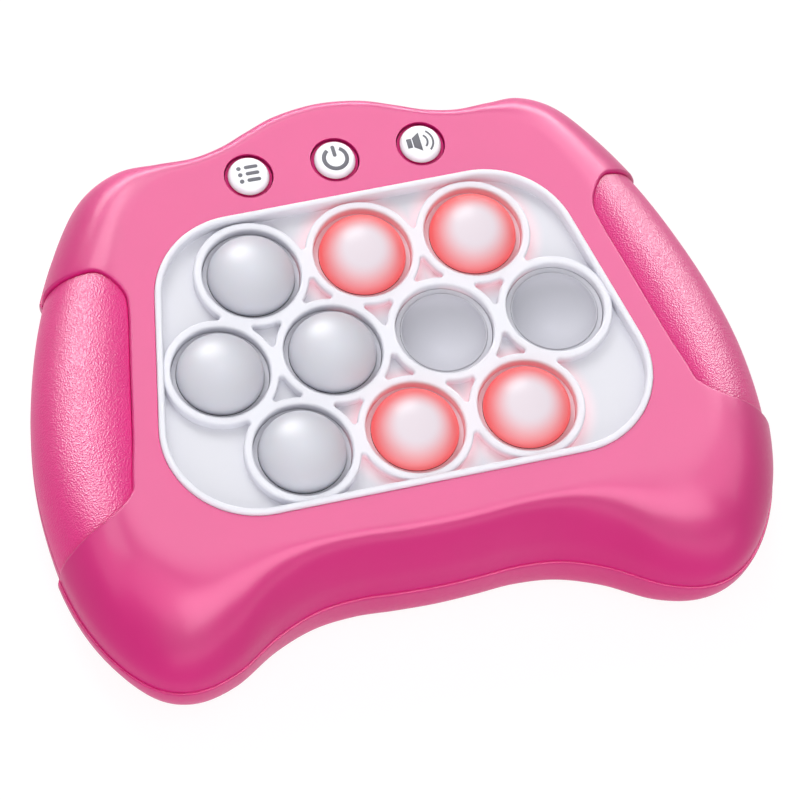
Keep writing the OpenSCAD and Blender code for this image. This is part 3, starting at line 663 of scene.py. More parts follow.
def screw_places(node):
    """Axes of a node's screws, each from the middle of its lowest points."""
    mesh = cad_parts[node].data
    lowest = min(v.co.z for v in mesh.vertices)
    groups = []
    for point in [v.co.xy / MM for v in mesh.vertices if v.co.z < lowest + 1e-6]:
        for group in groups:
            if (group[0] - point).length < SCREW_SPACING:
                group.append(point)
                break
        else:
            groups.append([point])
    places = []
    for group in groups:
        low = Vector((min(p.x for p in group), min(p.y for p in group)))
        high = Vector((max(p.x for p in group), max(p.y for p in group)))
        places.append((low + high) / 2)
    return places


def bay_edges(bm):
    """The battery bay: ledge for the door, walls and roof. Returns the edges where it meets the base."""
    mouth, ledge = well(bm, lambda grow: door_loop(DOOR_GAP + grow), BAY_EDGE_R, 0, LEDGE_Z, 3)
    inside = (size_of("battery_contacts").x, size_of("batteries").y + CELL_PLAY)
    walls = round_box(inside, BAY_CORNER, centre_of("battery_door"), 3)
    foot, roof = tube(bm, [(walls, LEDGE_Z), (walls, ROOF_Z)])
    ledge += foot
    for place in screw_places("door_screws"):
        hole = circle(place, PILOT_R, 20)
        pilot, end = tube(bm, [(hole, LEDGE_Z), (hole, PILOT_TOP)])
        ledge += pilot
        fill(bm, end)
    fill(bm, ledge)
    fill(bm, roof)
    return mouth


def border(rows):
    """What lies round the edge of a grid, from its first corner up the first column."""
    return [r[0] for r in rows] + rows[-1][1:-1] + [r[-1] for r in reversed(rows)] + rows[0][-2:0:-1]


def grip_mesh(look, side):
    """A grip: a thin curved pad with rounded edges, one step below the case surface; side is 1 or -1."""
    form = CaseForm(look)
    clear = GRIP_PLAY + GRIP_EDGE_R
    bm = bmesh.new()
    shares = [max(GRIP_FIRST, v) for v in front_rows(1 - clear / PROFILE_LENGTH)]
    grid = [[(u, v) for u in spread(*grip_edges(form, v, -clear), GRIP_COLUMNS)] for v in shares]
    path = border(loft(bm, [[form.front(u, v, GRIP_STEP) for u, v in row] for row in grid]))
    wall = [(GRIP_EDGE_R, RECESS - GRIP_STEP - GRIP_FLOOR_PLAY)]
    away = path[0].co - path[GRIP_COLUMNS].co
    roll_edge(bm, form, path, border(grid), GRIP_EDGE_R, wall, away, closed=True)
    bmesh.ops.scale(bm, vec=Vector((side, 1, 1)), verts=bm.verts)

    def middle_faces_out(bm):
        aim = Vector((0, GRIP_MIDDLE_Z))
        middle = min(bm.faces, key=lambda face: (face.calc_center_median().yz - aim).length)
        return middle.normal.x * side >= 0

    clean(bm, middle_faces_out)
    return bm


# Panel


def panel_loop(grow, base=0.0):
    """The panel's outline: a trapezoid with round corners, counter-clockwise."""
    slope = PANEL_HIGH - PANEL_LOW
    lean = math.atan2(-slope.x, slope.y)
    left = Vector((-1, 1))
    corners = ((PANEL_HIGH, lean, QUARTER), (PANEL_HIGH * left, QUARTER, 2 * QUARTER - lean),
               (PANEL_LOW * left, 2 * QUARTER - lean, 3 * QUARTER), (PANEL_LOW, 3 * QUARTER, TURN + lean))
    points = []
    for centre, start, end in corners:
        points += arc(centre, PANEL_R + base + grow, start, end, PANEL_CORNER_STEPS)
    return points


def web_centre(a, b, side):
    """Centre of the small rounding between two touching rings, on the given side of their line."""
    middle = (a + b) / 2
    way = (b - a).normalized()
    height = math.sqrt((RING_R + WEB_FILLET) ** 2 - (PITCH / 2) ** 2)
    return middle + Vector((way.y, -way.x)) * height * side


def angle_to(a, b):
    return math.atan2(b.y - a.y, b.x - a.x)


def shortest(start, end):
    """The end angle, taken the short way round from start."""
    while end - start > math.pi:
        end -= TURN
    while end - start < -math.pi:
        end += TURN
    return end


def lattice_outline(rings, side, inset):
    """Outline of rings that touch in turn, rounded where they meet; inset goes into the rings."""
    points = []
    for i, here in enumerate(rings):
        before, after = rings[i - 1], rings[(i + 1) % len(rings)]
        web_before, web_after = web_centre(before, here, side), web_centre(here, after, side)
        start = angle_to(here, web_before)
        end = angle_to(here, web_after)
        if side > 0:
            while end < start:
                end += TURN
        else:
            end = shortest(start, end)
        steps = max(8, round(abs(end - start) / math.radians(5)))
        points += arc(here, RING_R - inset, start, end, steps)
        start = angle_to(web_after, here)
        end = shortest(start, angle_to(web_after, after))
        points += arc(web_after, WEB_FILLET + inset, start, end, 8)[1:-1]
    return points


def panel_mesh(look, deck_z):
    """Panel bezel: plate, rounded rim and the lattice of ten rings with rounded edges."""
    low, high = box_mm("panel_bezel")
    floor_z = deck_z - look.ring_height / MM
    radius = look.edge_radius / MM
    rim = look.rim_width / MM
    centres = {k: bubble_centre(k) for k in BUBBLES}
    bm = bmesh.new()

    root = (panel_loop(0), floor_z - RIM_ROOT)
    quarter = rounding(radius)
    outer = [(panel_loop(inset - radius), high.z - drop) for inset, drop in reversed(quarter)]
    inner = [(panel_loop(radius - inset - rim), high.z - drop) for inset, drop in quarter]
    tube(bm, [root, *outer, *inner, (panel_loop(-rim), floor_z - RIM_ROOT), root])

    plate = panel_loop(-0.5 * rim)
    levels = [(plate, floor_z), (plate, low.z)]
    for edges, (_, z) in zip(tube(bm, levels), levels):
        for k in BUBBLES:
            hole = wire(bm, at_height(circle(centres[k], RING_HOLE_R, RING_STEPS), z), closed=True)
            edges += row_edges(bm, hole, closed=True)
        fill(bm, edges)

    chains = [(OUTER_RINGS, 1)] + [(rings, -1) for rings in RING_TRIANGLES]
    lattice = [functools.partial(lattice_outline, [centres[k] for k in rings], side)
               for rings, side in chains]
    holes = [functools.partial(hole_loop, centres[k], RING_HOLE_R, RING_STEPS) for k in BUBBLES]
    tops = []
    for traces, bottom in ((lattice, floor_z - RING_ROOT), (holes, low.z)):
        for trace in traces:
            tops += well(bm, trace, radius, deck_z, bottom)[0]
    fill(bm, tops)
    clean(bm, top_faces_up)
    return bm


# Bubbles


def bubble_mesh(k):
    """One bubble's skin, standing or pushed in."""
    low, high = box_mm(f"bubble_{k}")
    radius, foot, rise = (high.x - low.x) / 2, low.z, high.z - low.z
    if k in PUSHED:
        radius, foot, rise = radius - DISH_RIM, high.z, -DISH_DEPTH
    profile = [(radius * math.cos(a), foot + rise * math.sin(a)) for a in spread(0, QUARTER, 24)]
    profile[-1] = (0, foot + rise)
    bm = bmesh.new()
    lathe(bm, profile, bubble_centre(k), 80)
    clean(bm, top_faces_up)
    return bm


def nub_mesh(centre, root, top):
    """The nub under a bubble's crown, which presses its switch."""
    tip = top - NUB_LENGTH
    profile = [(0, root), (NUB_R, root), (NUB_R, tip + NUB_EDGE), (NUB_R - NUB_EDGE, tip), (0, tip)]
    bm = bmesh.new()
    lathe(bm, profile, centre, 24)
    clean(bm, top_faces_up)
    return bm


def mark_painted_sheen(piece, centre, radius):
    """Stores each point's distance from the spot of painted sheen, as a share of the radius."""
    mesh = piece.data
    mark = mesh.attributes.new("crown", "FLOAT", "POINT")
    # The distance from the spot of painted sheen, which the silicone finishes paint light and shade by
    axis = (Vector(centre) + Vector(PAINTED_SHEEN_SPOT) * radius) * MM
    mark.data.foreach_set("value", [min(1.0, (v.co.xy - axis).length / (radius * MM)) for v in mesh.vertices])


# Buttons


def cap_height(name, look, distance):
    """Height of a cap's face at a distance from its axis."""
    return box_mm(name)[1].z - look.crown / MM * (distance / CAP_R) ** 2


def button_mesh(name, look, deck_z):
    """A button: crowned cap, which takes the first material, on a flanged carrier."""
    foot = box_mm(name)[0].z + PRESS_ROOM
    flat = CAP_R - CAP_EDGE
    edge_z = cap_height(name, look, flat) - CAP_EDGE
    profile = [(0, foot), (STEM_R, foot), (STEM_R, deck_z - FLANGE_BASE), (FLANGE_R, deck_z - FLANGE_BASE),
               (FLANGE_R, deck_z - FLANGE_TOP), (COLLAR_R, deck_z - FLANGE_TOP),
               (COLLAR_R, deck_z - COLLAR_DROP), (CAP_R, deck_z - COLLAR_DROP)]
    profile += [(flat + CAP_EDGE * math.cos(a), edge_z + CAP_EDGE * math.sin(a))
                for a in spread(0, QUARTER, 8)]
    profile += [(flat * s, cap_height(name, look, flat * s)) for s in (0.8, 0.6, 0.4, 0.2, 0)]
    bm = bmesh.new()
    lathe(bm, profile, centre_of(name), 72)
    clean(bm, top_faces_up)
    for face in bm.faces:
        face.material_index = 0 if face.calc_center_median().z > deck_z - CARRIER_DROP else 1
    return bm


def flat_arc(bm, centre, radius, stroke, start, end, steps):
    """A flat strip along a circle, between two angles in degrees."""
    start, end = math.radians(start), math.radians(end)
    points = [Vector((centre[0] + r * math.cos(start), centre[1] + r * math.sin(start), 0))
              for r in (radius - stroke / 2, radius + stroke / 2)]
    row = wire(bm, points)
    bmesh.ops.spin(bm, geom=row + row_edges(bm, row), cent=(centre[0], centre[1], 0), axis=UP,
                   angle=end - start, steps=steps)


def flat_shape(bm, points):
    row = wire(bm, at_height(points, 0), closed=True)
    fill(bm, row_edges(bm, row, closed=True))


def flat_bar(bm, centre, size):
    """A flat bar with round ends."""
    flat_shape(bm, round_box(size, min(size) / 2 - 0.01, centre, 6))


def sign_mesh(name, look):
    """The sign on a button: list, power or loudspeaker, laid on the cap's face."""
    bm = bmesh.new()
    if name == "menu_button":
        for y in (1.6, 0, -1.6):
            flat_bar(bm, (-2.0, y), (1.0, 1.0))
            flat_bar(bm, (0.75, y), (3.1, 0.85))
    elif name == "power_button":
        flat_arc(bm, (0, -0.15), 2.55, 0.9, 122, 418, 48)
        flat_bar(bm, (0, 1.6), (0.85, 2.9))
    else:
        flat_shape(bm, [(-3.15, -1.15), (-2.05, -1.15), (-2.05, 1.15), (-3.15, 1.15)])
        flat_shape(bm, [(-1.8, -1.15), (-0.1, -2.35), (-0.1, 2.35), (-1.8, 1.15)])
        for radius in (1.8, 3.05):
            flat_arc(bm, (-0.35, 0), radius, 0.46, -50, 50, 18)
    bmesh.ops.triangulate(bm, faces=bm.faces)
    bmesh.ops.subdivide_edges(bm, edges=bm.edges, cuts=2, use_grid_fill=True)
    bmesh.ops.remove_doubles(bm, verts=bm.verts, dist=0.1 * WELD)
    centre = centre_of(name)
    for vert in bm.verts:
        vert.co.z = cap_height(name, look, vert.co.xy.length) + SIGN_RISE
        vert.co.xy += centre
    clean(bm, top_faces_up)
    return bm


# Underside: battery door, screws and cells


def screw_mesh(node):
    """Pan-head screws with a cross recess, heads down."""
    low, high = box_mm(node)
    head_top = low.z + HEAD_HEIGHTS[node]
    profile = [(HEAD_R - HEAD_EDGE_R + inset, low.z + drop) for inset, drop in rounding(HEAD_EDGE_R)]
    profile += [(HEAD_R, head_top), (SHANK_R, head_top), (SHANK_R, high.z - 1), (POINT_R, high.z)]
    arm = ((CROSS_ARM, -CROSS_HALF), (CROSS_ARM, CROSS_HALF), (CROSS_HALF, CROSS_HALF))
    cross = [Matrix.Rotation(k * QUARTER, 2) @ Vector(point) for k in range(4) for point in arm]
    bm = bmesh.new()
    for place in screw_places(node):
        face, point = tube(bm, [(circle(place, r, 40), z) for r, z in profile])
        fill(bm, point)
        slot, floor = tube(bm, [([place + p for p in cross], low.z),
                                ([place + p * CROSS_TAPER for p in cross], low.z + CROSS_DEPTH)])
        fill(bm, face + slot)
        fill(bm, floor)
    clean(bm)
    return bm


def door_mesh():
    """Battery door: rounded plate with screw pockets and finger grooves."""
    centre, size = centre_of("battery_door"), size_of("battery_door")
    bm = bmesh.new()
    levels = [(door_loop(inset - DOOR_EDGE_R), drop) for inset, drop in rounding(DOOR_EDGE_R, 3)]
    face, back = tube(bm, levels + [(door_loop(0), size.z)])
    pocket_r, floor_z = DOOR_POCKET_EDGE[-1][0], size.z - DOOR_FLOOR
    pocket = (*DOOR_POCKET_EDGE, (pocket_r, floor_z), (DOOR_HOLE_R, floor_z), (DOOR_HOLE_R, size.z))
    for place in screw_places("door_screws"):
        mouth, hole = tube(bm, [(circle(place, r, 40), z) for r, z in pocket])
        face += mouth
        back += hole
    for k in range(GROOVES):
        place = ((k - (GROOVES - 1) / 2) * GROOVE_PITCH, centre.y + size.y / 2 - 4)
        mouth, floor = tube(bm, [(round_box((1.8, 3.2), 0.6, place, 4), 0),
                                 (round_box((1.5, 2.9), 0.5, place, 4), GROOVE_DEPTH)])
        face += mouth
        fill(bm, floor)
    fill(bm, face)
    fill(bm, back)
    clean(bm, base_faces_down)
    return bm


def cells_mesh():
    """Three cells with a rolled wrap, a shoulder and a nub; wrap faces take the first material."""
    low, high = box_mm("batteries")
    radius = (high.z - low.z) / 2
    length = high.x - low.x
    profile = ((0, 0), (radius - 1.2, 0), (radius - 0.9, 0.25), (radius - 0.25, 0.25), (radius, 0.5),
               (radius, length - 1.6), (radius - 0.25, length - 1.3), (radius - 0.9, length - 1.35),
               (radius - 1.1, length - 1.0), (1.9, length - 1.0), (1.9, length - 0.25), (1.65, length),
               (0, length))
    bm = bmesh.new()
    for k, y in enumerate(spread(low.y + radius, high.y - radius, 2)):
        made = bmesh.new()
        lathe(made, [(r, z - length / 2) for r, z in profile], (0, 0), 48)
        clean(made)
        for face in made.faces:
            face.material_index = 0 if face.calc_center_median().xy.length > radius - 0.6 else 1
        place = Matrix.Translation((0, y, low.z + radius)) @ Matrix.Rotation(QUARTER * (-1) ** k, 4, "Y")
        bmesh.ops.transform(made, matrix=place, verts=made.verts)
        part = bpy.data.meshes.new("cell")
        made.to_mesh(part)
        made.free()
        bm.from_mesh(part)
        bpy.data.meshes.remove(part)
    return bm


# Materials


def plug(tree, socket, value):
    """Gives an input its value, or links it to another node's output."""
    if isinstance(value, bpy.types.NodeSocket):
        tree.links.new(value, socket)
    else:
        socket.default_value = value


def set_inputs(tree, node, **inputs):
    """Sets a node's inputs by name, with _ for a space."""
    for name, value in inputs.items():
        plug(tree, node.inputs[name.replace("_", " ")], value)


def add_node(tree, kind, **inputs):
    node = tree.nodes.new(kind)
    set_inputs(tree, node, **inputs)
    return node


def join(tree, kind, *values, operation=None):
    """A node with its inputs set in turn."""
    node = tree.nodes.new(kind)
    if operation:
        node.operation = operation
    for socket, value in zip(node.inputs, values):
        plug(tree, socket, value)
    return node


def largest(tree, values):
    """The largest of some nodes' outputs."""
    total = values[0]
    for value in values[1:]:
        total = join(tree, "ShaderNodeMath", total, value, operation="MAXIMUM").outputs["Value"]
    return total


def shade(colour, factor):
    """A colour made lighter or darker, with alpha."""
    return (*[min(1.0, c * factor) for c in colour], 1)


class Finish:
    """A material and its shader; inputs that are the same all over are set at the start."""

    def __init__(self, name, **inputs):
        self.material = bpy.data.materials.new(name)
        self.material.use_nodes = True
        self.tree = self.material.node_tree
        self.shader = self.tree.nodes["Principled BSDF"]
        self.place = self.node("ShaderNodeTexCoord").outputs["Object"]
        self.set(**inputs)

    def set(self, **inputs):
        set_inputs(self.tree, self.shader, **inputs)

    def node(self, kind, **inputs):
        return add_node(self.tree, kind, **inputs)

    def noise(self, scale, detail, output="Fac"):
        return self.node("ShaderNodeTexNoise", Vector=self.place, Scale=scale, Detail=detail).outputs[output]

    def span(self, value, low, high, start, end, kind="LINEAR"):
        """A value that goes from start to end as the given one goes from low to high."""
        node = self.node("ShaderNodeMapRange", Value=value, From_Min=low, From_Max=high,
                         To_Min=start, To_Max=end)
        node.interpolation_type = kind
        return node.outputs["Result"]

    def ramp(self, value, low, high, start, end, kind="LINEAR"):
        """A colour that goes from start to end as the value goes from low to high."""
        node = self.node("ShaderNodeValToRGB", Fac=value)
        node.color_ramp.interpolation = kind
        for element, position, colour in zip(node.color_ramp.elements, (low, high), (start, end)):
            element.position = position
            element.color = colour
        return node.outputs["Color"]

    def tint(self, colour, drift, scale):
        """Base colour that drifts a little lighter and darker over the surface."""
        pair = shade(colour, 1 - drift), shade(colour, 1 + drift)
        self.set(Base_Color=self.ramp(self.noise(scale, 3.0), *DRIFT, *pair))

    def bump(self, height, strength, distance):
        node = self.node("ShaderNodeBump", Height=height, Strength=strength, Distance=distance)
        self.set(Normal=node.outputs["Normal"])

    def mould(self, roughness, strength):
        """Slight drift of sheen, and a faint ripple, as moulding leaves them."""
        self.set(Roughness=self.span(self.noise(900.0, 4.0), *DRIFT, roughness * 0.92, roughness * 1.08))
        self.bump(self.noise(2600.0, 2.0), strength, 0.00005)


def moulded(name, colour, roughness, drift=0.02, **inputs):
    """Moulded plastic."""
    finish = Finish(name, **inputs)
    finish.tint(colour, drift, 45.0)
    finish.mould(roughness, 0.04)
    return finish.material


def grained_grip(name, colour):
    """Grip plastic with a fine leather grain."""
    finish = Finish(name, Roughness=0.38, Specular_IOR_Level=0.25)
    finish.tint(colour, 0.03, 60.0)
    warp = 0.1 * MM
    bend = finish.noise(1400.0, 2.0, "Color")
    moved = join(finish.tree, "ShaderNodeVectorMath", bend, (warp, warp, warp), finish.place,
                 operation="MULTIPLY_ADD")
    cells = finish.node("ShaderNodeTexVoronoi", Vector=moved.outputs["Vector"], Scale=2600.0)
    finish.bump(cells.outputs["Distance"], 0.75, 0.00011)
    return finish.material


def painted_glow_falloff(finish, near, far):
    """A value of 1 at the lit bubbles that falls to 0 away from them; it spreads the painted glow."""
    tree = finish.tree
    flat = join(tree, "ShaderNodeVectorMath", finish.place, (1, 1, 0), operation="MULTIPLY").outputs["Vector"]
    fades = []
    for k in LIT:
        centre = (*(bubble_centre(k) * MM), 0)
        reach = join(tree, "ShaderNodeVectorMath", flat, centre, operation="DISTANCE").outputs["Value"]
        fades.append(finish.span(reach, near, far, 1.0, 0.0, "SMOOTHSTEP"))
    return largest(tree, fades)


def painted_glow_and_shade(name, colour, glow, strength, near, far, ring_top):
    """White plastic with painted glow where the lamps under the lit bubbles shine through, most of all below
    the ring tops, and painted shade low down.
    """
    finish = Finish(name, Specular_IOR_Level=0.2, Emission_Color=(*glow, 1))
    finish.mould(0.45, 0.02)
    height = finish.node("ShaderNodeSeparateXYZ", Vector=finish.place).outputs["Z"]
    # Painted shade: base colour darker down in the pits and on the floor, lighter on the ring tops
    level = finish.span(height, ring_top - 2.0 * MM, ring_top, 0.0, 1.0)
    finish.set(Base_Color=finish.ramp(level, 0.0, 1.0, shade(colour, 0.93), shade(colour, 1.07)))
    # Painted glow: emission near the lit bubbles stands in for their light, strongest low in the pits
    painted_glow_by_height = finish.span(height, ring_top - 1.6 * MM, ring_top - 0.2 * MM, strength, 0.06 * strength)
    painted_glow = join(finish.tree, "ShaderNodeMath", painted_glow_falloff(finish, near, far), painted_glow_by_height, operation="MULTIPLY")
    finish.set(Emission_Strength=painted_glow.outputs["Value"])
    return finish.material


def frosted(name, **inputs):
    """Silicone with a faint frost. Returns it with each point's distance from the spot of painted sheen."""
    finish = Finish(name, **inputs)
    finish.bump(finish.noise(1800.0, 3.0), 0.05, 0.00005)
    # Distance from the spot of painted sheen, stored when the piece was made
    crown = finish.node("ShaderNodeAttribute")
    crown.attribute_name = "crown"
    return finish, crown.outputs["Fac"]


def silicone(name, colour, roughness, specular, soft):
    """Soft pearly silicone with painted sheen and shade: lighter at the sheen spot, darker towards the foot.
    """
    finish, crown = frosted(name, Roughness=roughness, Specular_IOR_Level=specular,
                            Subsurface_Weight=soft, Subsurface_Scale=0.004)
    # Painted light and shade: base colour lighter near the sheen spot, darker towards the foot
    finish.set(Base_Color=finish.ramp(crown, 0.0, 0.95, shade(colour, 1.12), shade(colour, 0.9)))
    return finish.material


def lit_silicone(name, glow, strength):
    """Silicone with the painted glow of a lamp behind it: pale at the crown, saturated at the edge."""
    finish, crown = frosted(name, Roughness=0.34, Specular_IOR_Level=0.45, Emission_Strength=strength)
    pale_from = 0.37
    # Painted glow: base colour and emission both go from pale near the sheen spot to red at the edge
    body = (0.52, 0.5, 0.52, 1), (0.39, 0.075, 0.075, 1)
    painted_glow = (0.36, 0.28, 0.33, 1), (*glow, 1)
    finish.set(Base_Color=finish.ramp(crown, pale_from, 1.0, *body, "EASE"),
               Emission_Color=finish.ramp(crown, pale_from, 1.0, *painted_glow, "EASE"))
    return finish.material


def plated_steel(name):
    """Zinc-plated steel with fine turning marks."""
    finish = Finish(name, Roughness=0.32, Metallic=1.0)
    finish.tint((0.62, 0.62, 0.64), 0.08, 400.0)
    finish.bump(finish.noise(6000.0, 2.0), 0.1, 0.00003)
    return finish.material


def board_finish(name):
    """Circuit board: green lacquer with faint tracks."""
    finish = Finish(name, Roughness=0.38)
    tracks = finish.node("ShaderNodeTexBrick", Vector=finish.place, Scale=180.0,
                         Color1=(0.012, 0.12, 0.05, 1), Color2=(0.015, 0.15, 0.06, 1),
                         Mortar=(0.03, 0.24, 0.1, 1))
    finish.set(Base_Color=tracks.outputs["Color"])
    return finish.material


@functools.lru_cache(maxsize=None)
def material(name):
    """The named finish, made once."""
    scene = bpy.context.scene
    case, panel, bubble, button = scene.game_case, scene.game_panel, scene.game_bubble, scene.game_button
    deck = case.deck_height
    recipes = {
        "case": lambda: moulded("pink_case", case.pink, 0.4, Specular_IOR_Level=0.2, Coat_Weight=0.12,
                                Coat_Roughness=0.2),
        "carrier": lambda: moulded("pink_carrier", case.pink, 0.6, Specular_IOR_Level=0.08),
        "grip": lambda: grained_grip("pink_grip", case.grip_pink),
        # Panel and sheet: painted glow round the lit bubbles; the panel also has painted shade in its pits
        "panel": lambda: painted_glow_and_shade("white_panel", panel.white, bubble.glow, 0.42, 0.0118, 0.0165, deck),
        "sheet": lambda: painted_glow_and_shade("white_sheet", panel.white, bubble.glow, 0.2, 0.011, 0.0125, deck),
        # Standing and pushed-in bubbles: silicone with painted sheen and shade
        "silicone": lambda: silicone("pearl_silicone", bubble.silicone, 0.46, 1.0, soft=0.08),
        "dish": lambda: silicone("matt_silicone", bubble.silicone, 0.5, 0.25, soft=0.0),
        # Lit bubbles: silicone with painted glow
        "lit": lambda: lit_silicone("lit_silicone", bubble.glow, bubble.glow_strength),
        "button": lambda: moulded("white_button", button.white, 0.3, 0.012, Specular_IOR_Level=0.3),
        "ink": lambda: moulded("grey_ink", button.ink, 0.5, 0.05),
        "black": lambda: moulded("black_plastic", (0.018, 0.018, 0.02), 0.42, 0.15),
        "frame": lambda: moulded("white_frame", (0.75, 0.75, 0.76), 0.5),
        "wrap": lambda: moulded("cell_wrap", (0.04, 0.045, 0.05), 0.3, 0.12),
        "steel": lambda: plated_steel("plated_steel"),
        "board": lambda: board_finish("green_board"),
    }
    return recipes[name]()


def dress(node, name):
    """Gives a CAD node that stays in view a finish of its own."""
    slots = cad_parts[node].data.materials
    slots.clear()
    slots.append(material(name))


# Operators


class GAME_OT_case(bpy.types.Operator):
    """Both case halves"""
    bl_idname = "push_game.case"
    bl_label = "Case"

    def execute(self, context):
        look = context.scene.game_case
        for name, mesh, node in (("front_case", front_case_mesh, "front_shell"),
                                 ("rear_case", rear_case_mesh, "rear_shell")):
            make_piece(name, mesh(look), ["case"], "housing", [node], look.wall)
        return {"FINISHED"}


class GAME_OT_grips(bpy.types.Operator):
    """The grained grips in the sides of the case"""
    bl_idname = "push_game.grips"
    bl_label = "Grips"

    def execute(self, context):
        look = context.scene.game_case
        for name, node, side in (("right_pad", "right_grip", 1), ("left_pad", "left_grip", -1)):
            make_piece(name, grip_mesh(look, side), ["grip"], "housing", [node], GRIP_WALL)
        return {"FINISHED"}


class GAME_OT_panel(bpy.types.Operator):
    """The white panel with its rim and rings, and the sheet behind it"""
    bl_idname = "push_game.panel"
    bl_label = "Panel"

    def execute(self, context):
        mesh = panel_mesh(context.scene.game_panel, context.scene.game_case.deck_height / MM)
        make_piece("ring_panel", mesh, ["panel"], "housing", ["panel_bezel"])
        # The sheet takes painted glow round the lit bubbles
        dress("bubble_sheet", "sheet")
        return {"FINISHED"}


class GAME_OT_bubbles(bpy.types.Operator):
    """The ten push bubbles, each with the nub that presses its switch"""
    bl_idname = "push_game.bubbles"
    bl_label = "Bubbles"

    def execute(self, context):
        look = context.scene.game_bubble
        for k in BUBBLES:
            node = f"bubble_{k}"
            low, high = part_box(node)
            centre = bubble_centre(k)
            # Lit bubbles take painted glow; standing and pushed-in ones take painted sheen and shade
            finish = "lit" if k in LIT else "dish" if k in PUSHED else "silicone"
            wall = DISH_RIM * MM if k in PUSHED else look.wall
            piece = make_piece(f"bubble_skin_{k}", bubble_mesh(k), [finish], None, [node], wall)
            mark_painted_sheen(piece, centre, (high.x - low.x) / 2 / MM)
            foot, tip = (high.z, high.z - DISH_DEPTH * MM) if k in PUSHED else (low.z, high.z)
            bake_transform(piece)
            nub = nub_mesh(centre, (tip - wall) / MM + 0.1, (tip - look.wall) / MM)
            make_piece(f"bubble_nub_{k}", nub, ["silicone"], node, ())
        return {"FINISHED"}


class GAME_OT_buttons(bpy.types.Operator):
    """The three round buttons and their signs"""
    bl_idname = "push_game.buttons"
    bl_label = "Buttons"

    def execute(self, context):
        look = context.scene.game_button
        deck_z = context.scene.game_case.deck_height / MM
        for name in BUTTONS:
            cap, sign = name.replace("button", "cap"), name.replace("button", "sign")
            make_piece(cap, button_mesh(name, look, deck_z), ["button", "carrier"], name, [name])
            make_piece(sign, sign_mesh(name, look), ["ink"], name, (), SIGN_WALL)
        return {"FINISHED"}


class GAME_OT_battery(bpy.types.Operator):
    """Battery door, its screws, the cells and their contacts"""
    bl_idname = "push_game.battery"
    bl_label = "Battery"

    def execute(self, context):
        door = "battery_door"
        make_piece("door_plate", door_mesh(), ["case"], door, [door])
        make_piece("door_screw_set", screw_mesh("door_screws"), ["steel"], door, ["door_screws"])
        make_piece("cells", cells_mesh(), ["wrap", "steel"], "housing", ["batteries"])
        dress("battery_contacts", "steel")
        return {"FINISHED"}


class GAME_OT_inside(bpy.types.Operator):
    """Finishes of the pieces inside the case, and its screws"""
    bl_idname = "push_game.inside"
    bl_label = "Inside"

    def execute(self, context):
        screws = "case_screws"
        make_piece("case_screw_set", screw_mesh(screws), ["steel"], "housing", [screws])
        for finish, nodes in (("frame", ("light_frame", "bubble_lamps")),
                              ("board", ("main_board", "button_board")),
                              ("black", ("bubble_switches", "button_switches", "speaker")),
                              ("steel", ("frame_screws", "board_screws", "button_board_screws"))):
            for node in nodes:
                dress(node, finish)
        return {"FINISHED"}


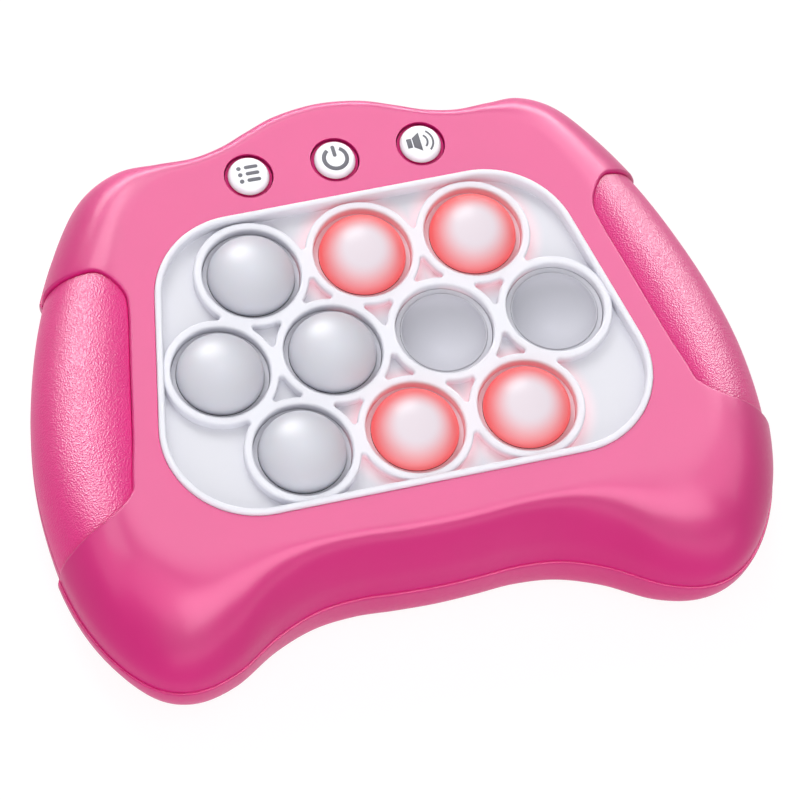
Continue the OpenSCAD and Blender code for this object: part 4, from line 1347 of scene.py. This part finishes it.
class GAME_OT_stage(bpy.types.Operator):
    """Floor, soft studio light and the camera"""
    bl_idname = "push_game.stage"
    bl_label = "Stage"

    def execute(self, context):
        look = context.scene.game_stage
        self.floor(look)
        self.light()
        self.camera(look)
        context.scene.view_settings.view_transform = "Standard"
        return {"FINISHED"}

    def floor(self, look):
        bm = bmesh.new()
        bmesh.ops.create_grid(bm, x_segments=1, y_segments=1, size=FLOOR_HALF)
        mesh = bpy.data.meshes.new("floor")
        bm.to_mesh(mesh)
        bm.free()
        paint = bpy.data.materials.new("pale_floor")
        paint.use_nodes = True
        tree = paint.node_tree
        tree.nodes.clear()
        matt = add_node(tree, "ShaderNodeBsdfDiffuse", Color=(*look.floor, 1))
        dark = add_node(tree, "ShaderNodeBsdfDiffuse", Color=FLOOR_SHADE)
        white = add_node(tree, "ShaderNodeEmission", Color=WHITE, Strength=FLOOR_GLOW)
        both = join(tree, "ShaderNodeAddShader", dark.outputs["BSDF"], white.outputs["Emission"])
        mix = join(tree, "ShaderNodeMixShader", self.seen(tree), matt.outputs["BSDF"], both.outputs["Shader"])
        add_node(tree, "ShaderNodeOutputMaterial", Surface=mix.outputs["Shader"])
        mesh.materials.append(paint)
        floor = bpy.data.objects.new("floor", mesh)
        floor.location.z = -FLOOR_DROP
        bpy.context.scene.collection.objects.link(floor)

    def seen(self, tree):
        """1 for rays that show the background itself: straight, mirrored or through glass."""
        path = tree.nodes.new("ShaderNodeLightPath")
        rays = ("Is Camera Ray", "Is Glossy Ray", "Is Transmission Ray")
        return largest(tree, [path.outputs[ray] for ray in rays])

    def light(self):
        world = bpy.data.worlds.new("studio")
        bpy.context.scene.world = world
        world.use_nodes = True
        tree = world.node_tree
        level = add_node(tree, "ShaderNodeMapRange", Value=self.seen(tree), To_Min=WORLD_LEVEL, To_Max=1.0)
        set_inputs(tree, tree.nodes["Background"], Color=WHITE, Strength=level.outputs["Result"])
        groups = {}
        for kind, pieces in HIGHLIGHTS.items():
            groups[kind] = bpy.data.collections.new(kind)
            for name in pieces:
                groups[kind].objects.link(bpy.data.objects[name])
        for name, place, size, power, kind in LAMPS:
            lamp = bpy.data.lights.new(name, "AREA")
            lamp.shape = "RECTANGLE"
            lamp.size, lamp.size_y = size
            lamp.energy = power
            holder = bpy.data.objects.new(name, lamp)
            holder.location = place
            holder.rotation_euler = (LAMP_AIM - Vector(place)).to_track_quat("-Z", "Y").to_euler()
            holder.visible_glossy = kind != "fill"
            if kind in groups:
                holder.visible_diffuse = False
                holder.light_linking.receiver_collection = groups[kind]
            bpy.context.scene.collection.objects.link(holder)

    def camera(self, look):
        turn, rise, roll = look.azimuth, look.elevation, look.roll
        back = Vector((math.sin(turn) * math.cos(rise), -math.cos(turn) * math.cos(rise), math.sin(rise)))
        right = (-back).cross(UP).normalized()
        down = (-back).cross(right)
        across = right * math.cos(roll) + down * math.sin(roll)
        below = down * math.cos(roll) - right * math.sin(roll)
        data = bpy.data.cameras.new("camera")
        data.lens = look.lens
        data.sensor_width = 36
        data.clip_end = 10
        camera = bpy.data.objects.new("camera", data)
        turned = Matrix((across, -below, back)).transposed().to_4x4()
        camera.matrix_world = Matrix.Translation(look.place) @ turned
        bpy.context.scene.collection.objects.link(camera)
        bpy.context.scene.camera = camera


class GAME_PT_panel(bpy.types.Panel):
    """Lists the pieces of the game"""
    bl_idname = "GAME_PT_panel"
    bl_label = "Push Bubble Game"
    bl_space_type = "VIEW_3D"
    bl_region_type = "UI"
    bl_category = "Push Bubble Game"

    def draw(self, context):
        for operator in OPERATORS:
            self.layout.operator(operator.bl_idname)
        for name in LOOKS:
            group = getattr(context.scene, name)
            for key in group.bl_rna.properties.keys():
                if key not in ("rna_type", "name"):
                    self.layout.prop(group, key)


LOOKS = {"game_case": CaseLook, "game_panel": PanelLook, "game_bubble": BubbleLook,
         "game_button": ButtonLook, "game_stage": StageLook}
OPERATORS = (GAME_OT_case, GAME_OT_grips, GAME_OT_panel, GAME_OT_bubbles, GAME_OT_buttons,
             GAME_OT_battery, GAME_OT_inside, GAME_OT_stage)
CLASSES = (*LOOKS.values(), *OPERATORS, GAME_PT_panel)


def register():
    for cls in CLASSES:
        bpy.utils.register_class(cls)
    for name, group in LOOKS.items():
        setattr(bpy.types.Scene, name, PointerProperty(type=group))


def unregister():
    for name in LOOKS:
        delattr(bpy.types.Scene, name)
    for cls in reversed(CLASSES):
        bpy.utils.unregister_class(cls)


def main():
    register()
    bpy.ops.push_game.case()
    bpy.ops.push_game.grips()
    bpy.ops.push_game.panel()
    bpy.ops.push_game.bubbles()
    bpy.ops.push_game.buttons()
    bpy.ops.push_game.battery()
    bpy.ops.push_game.inside()
    bpy.ops.push_game.stage()


if __name__ == "__main__":
    main()
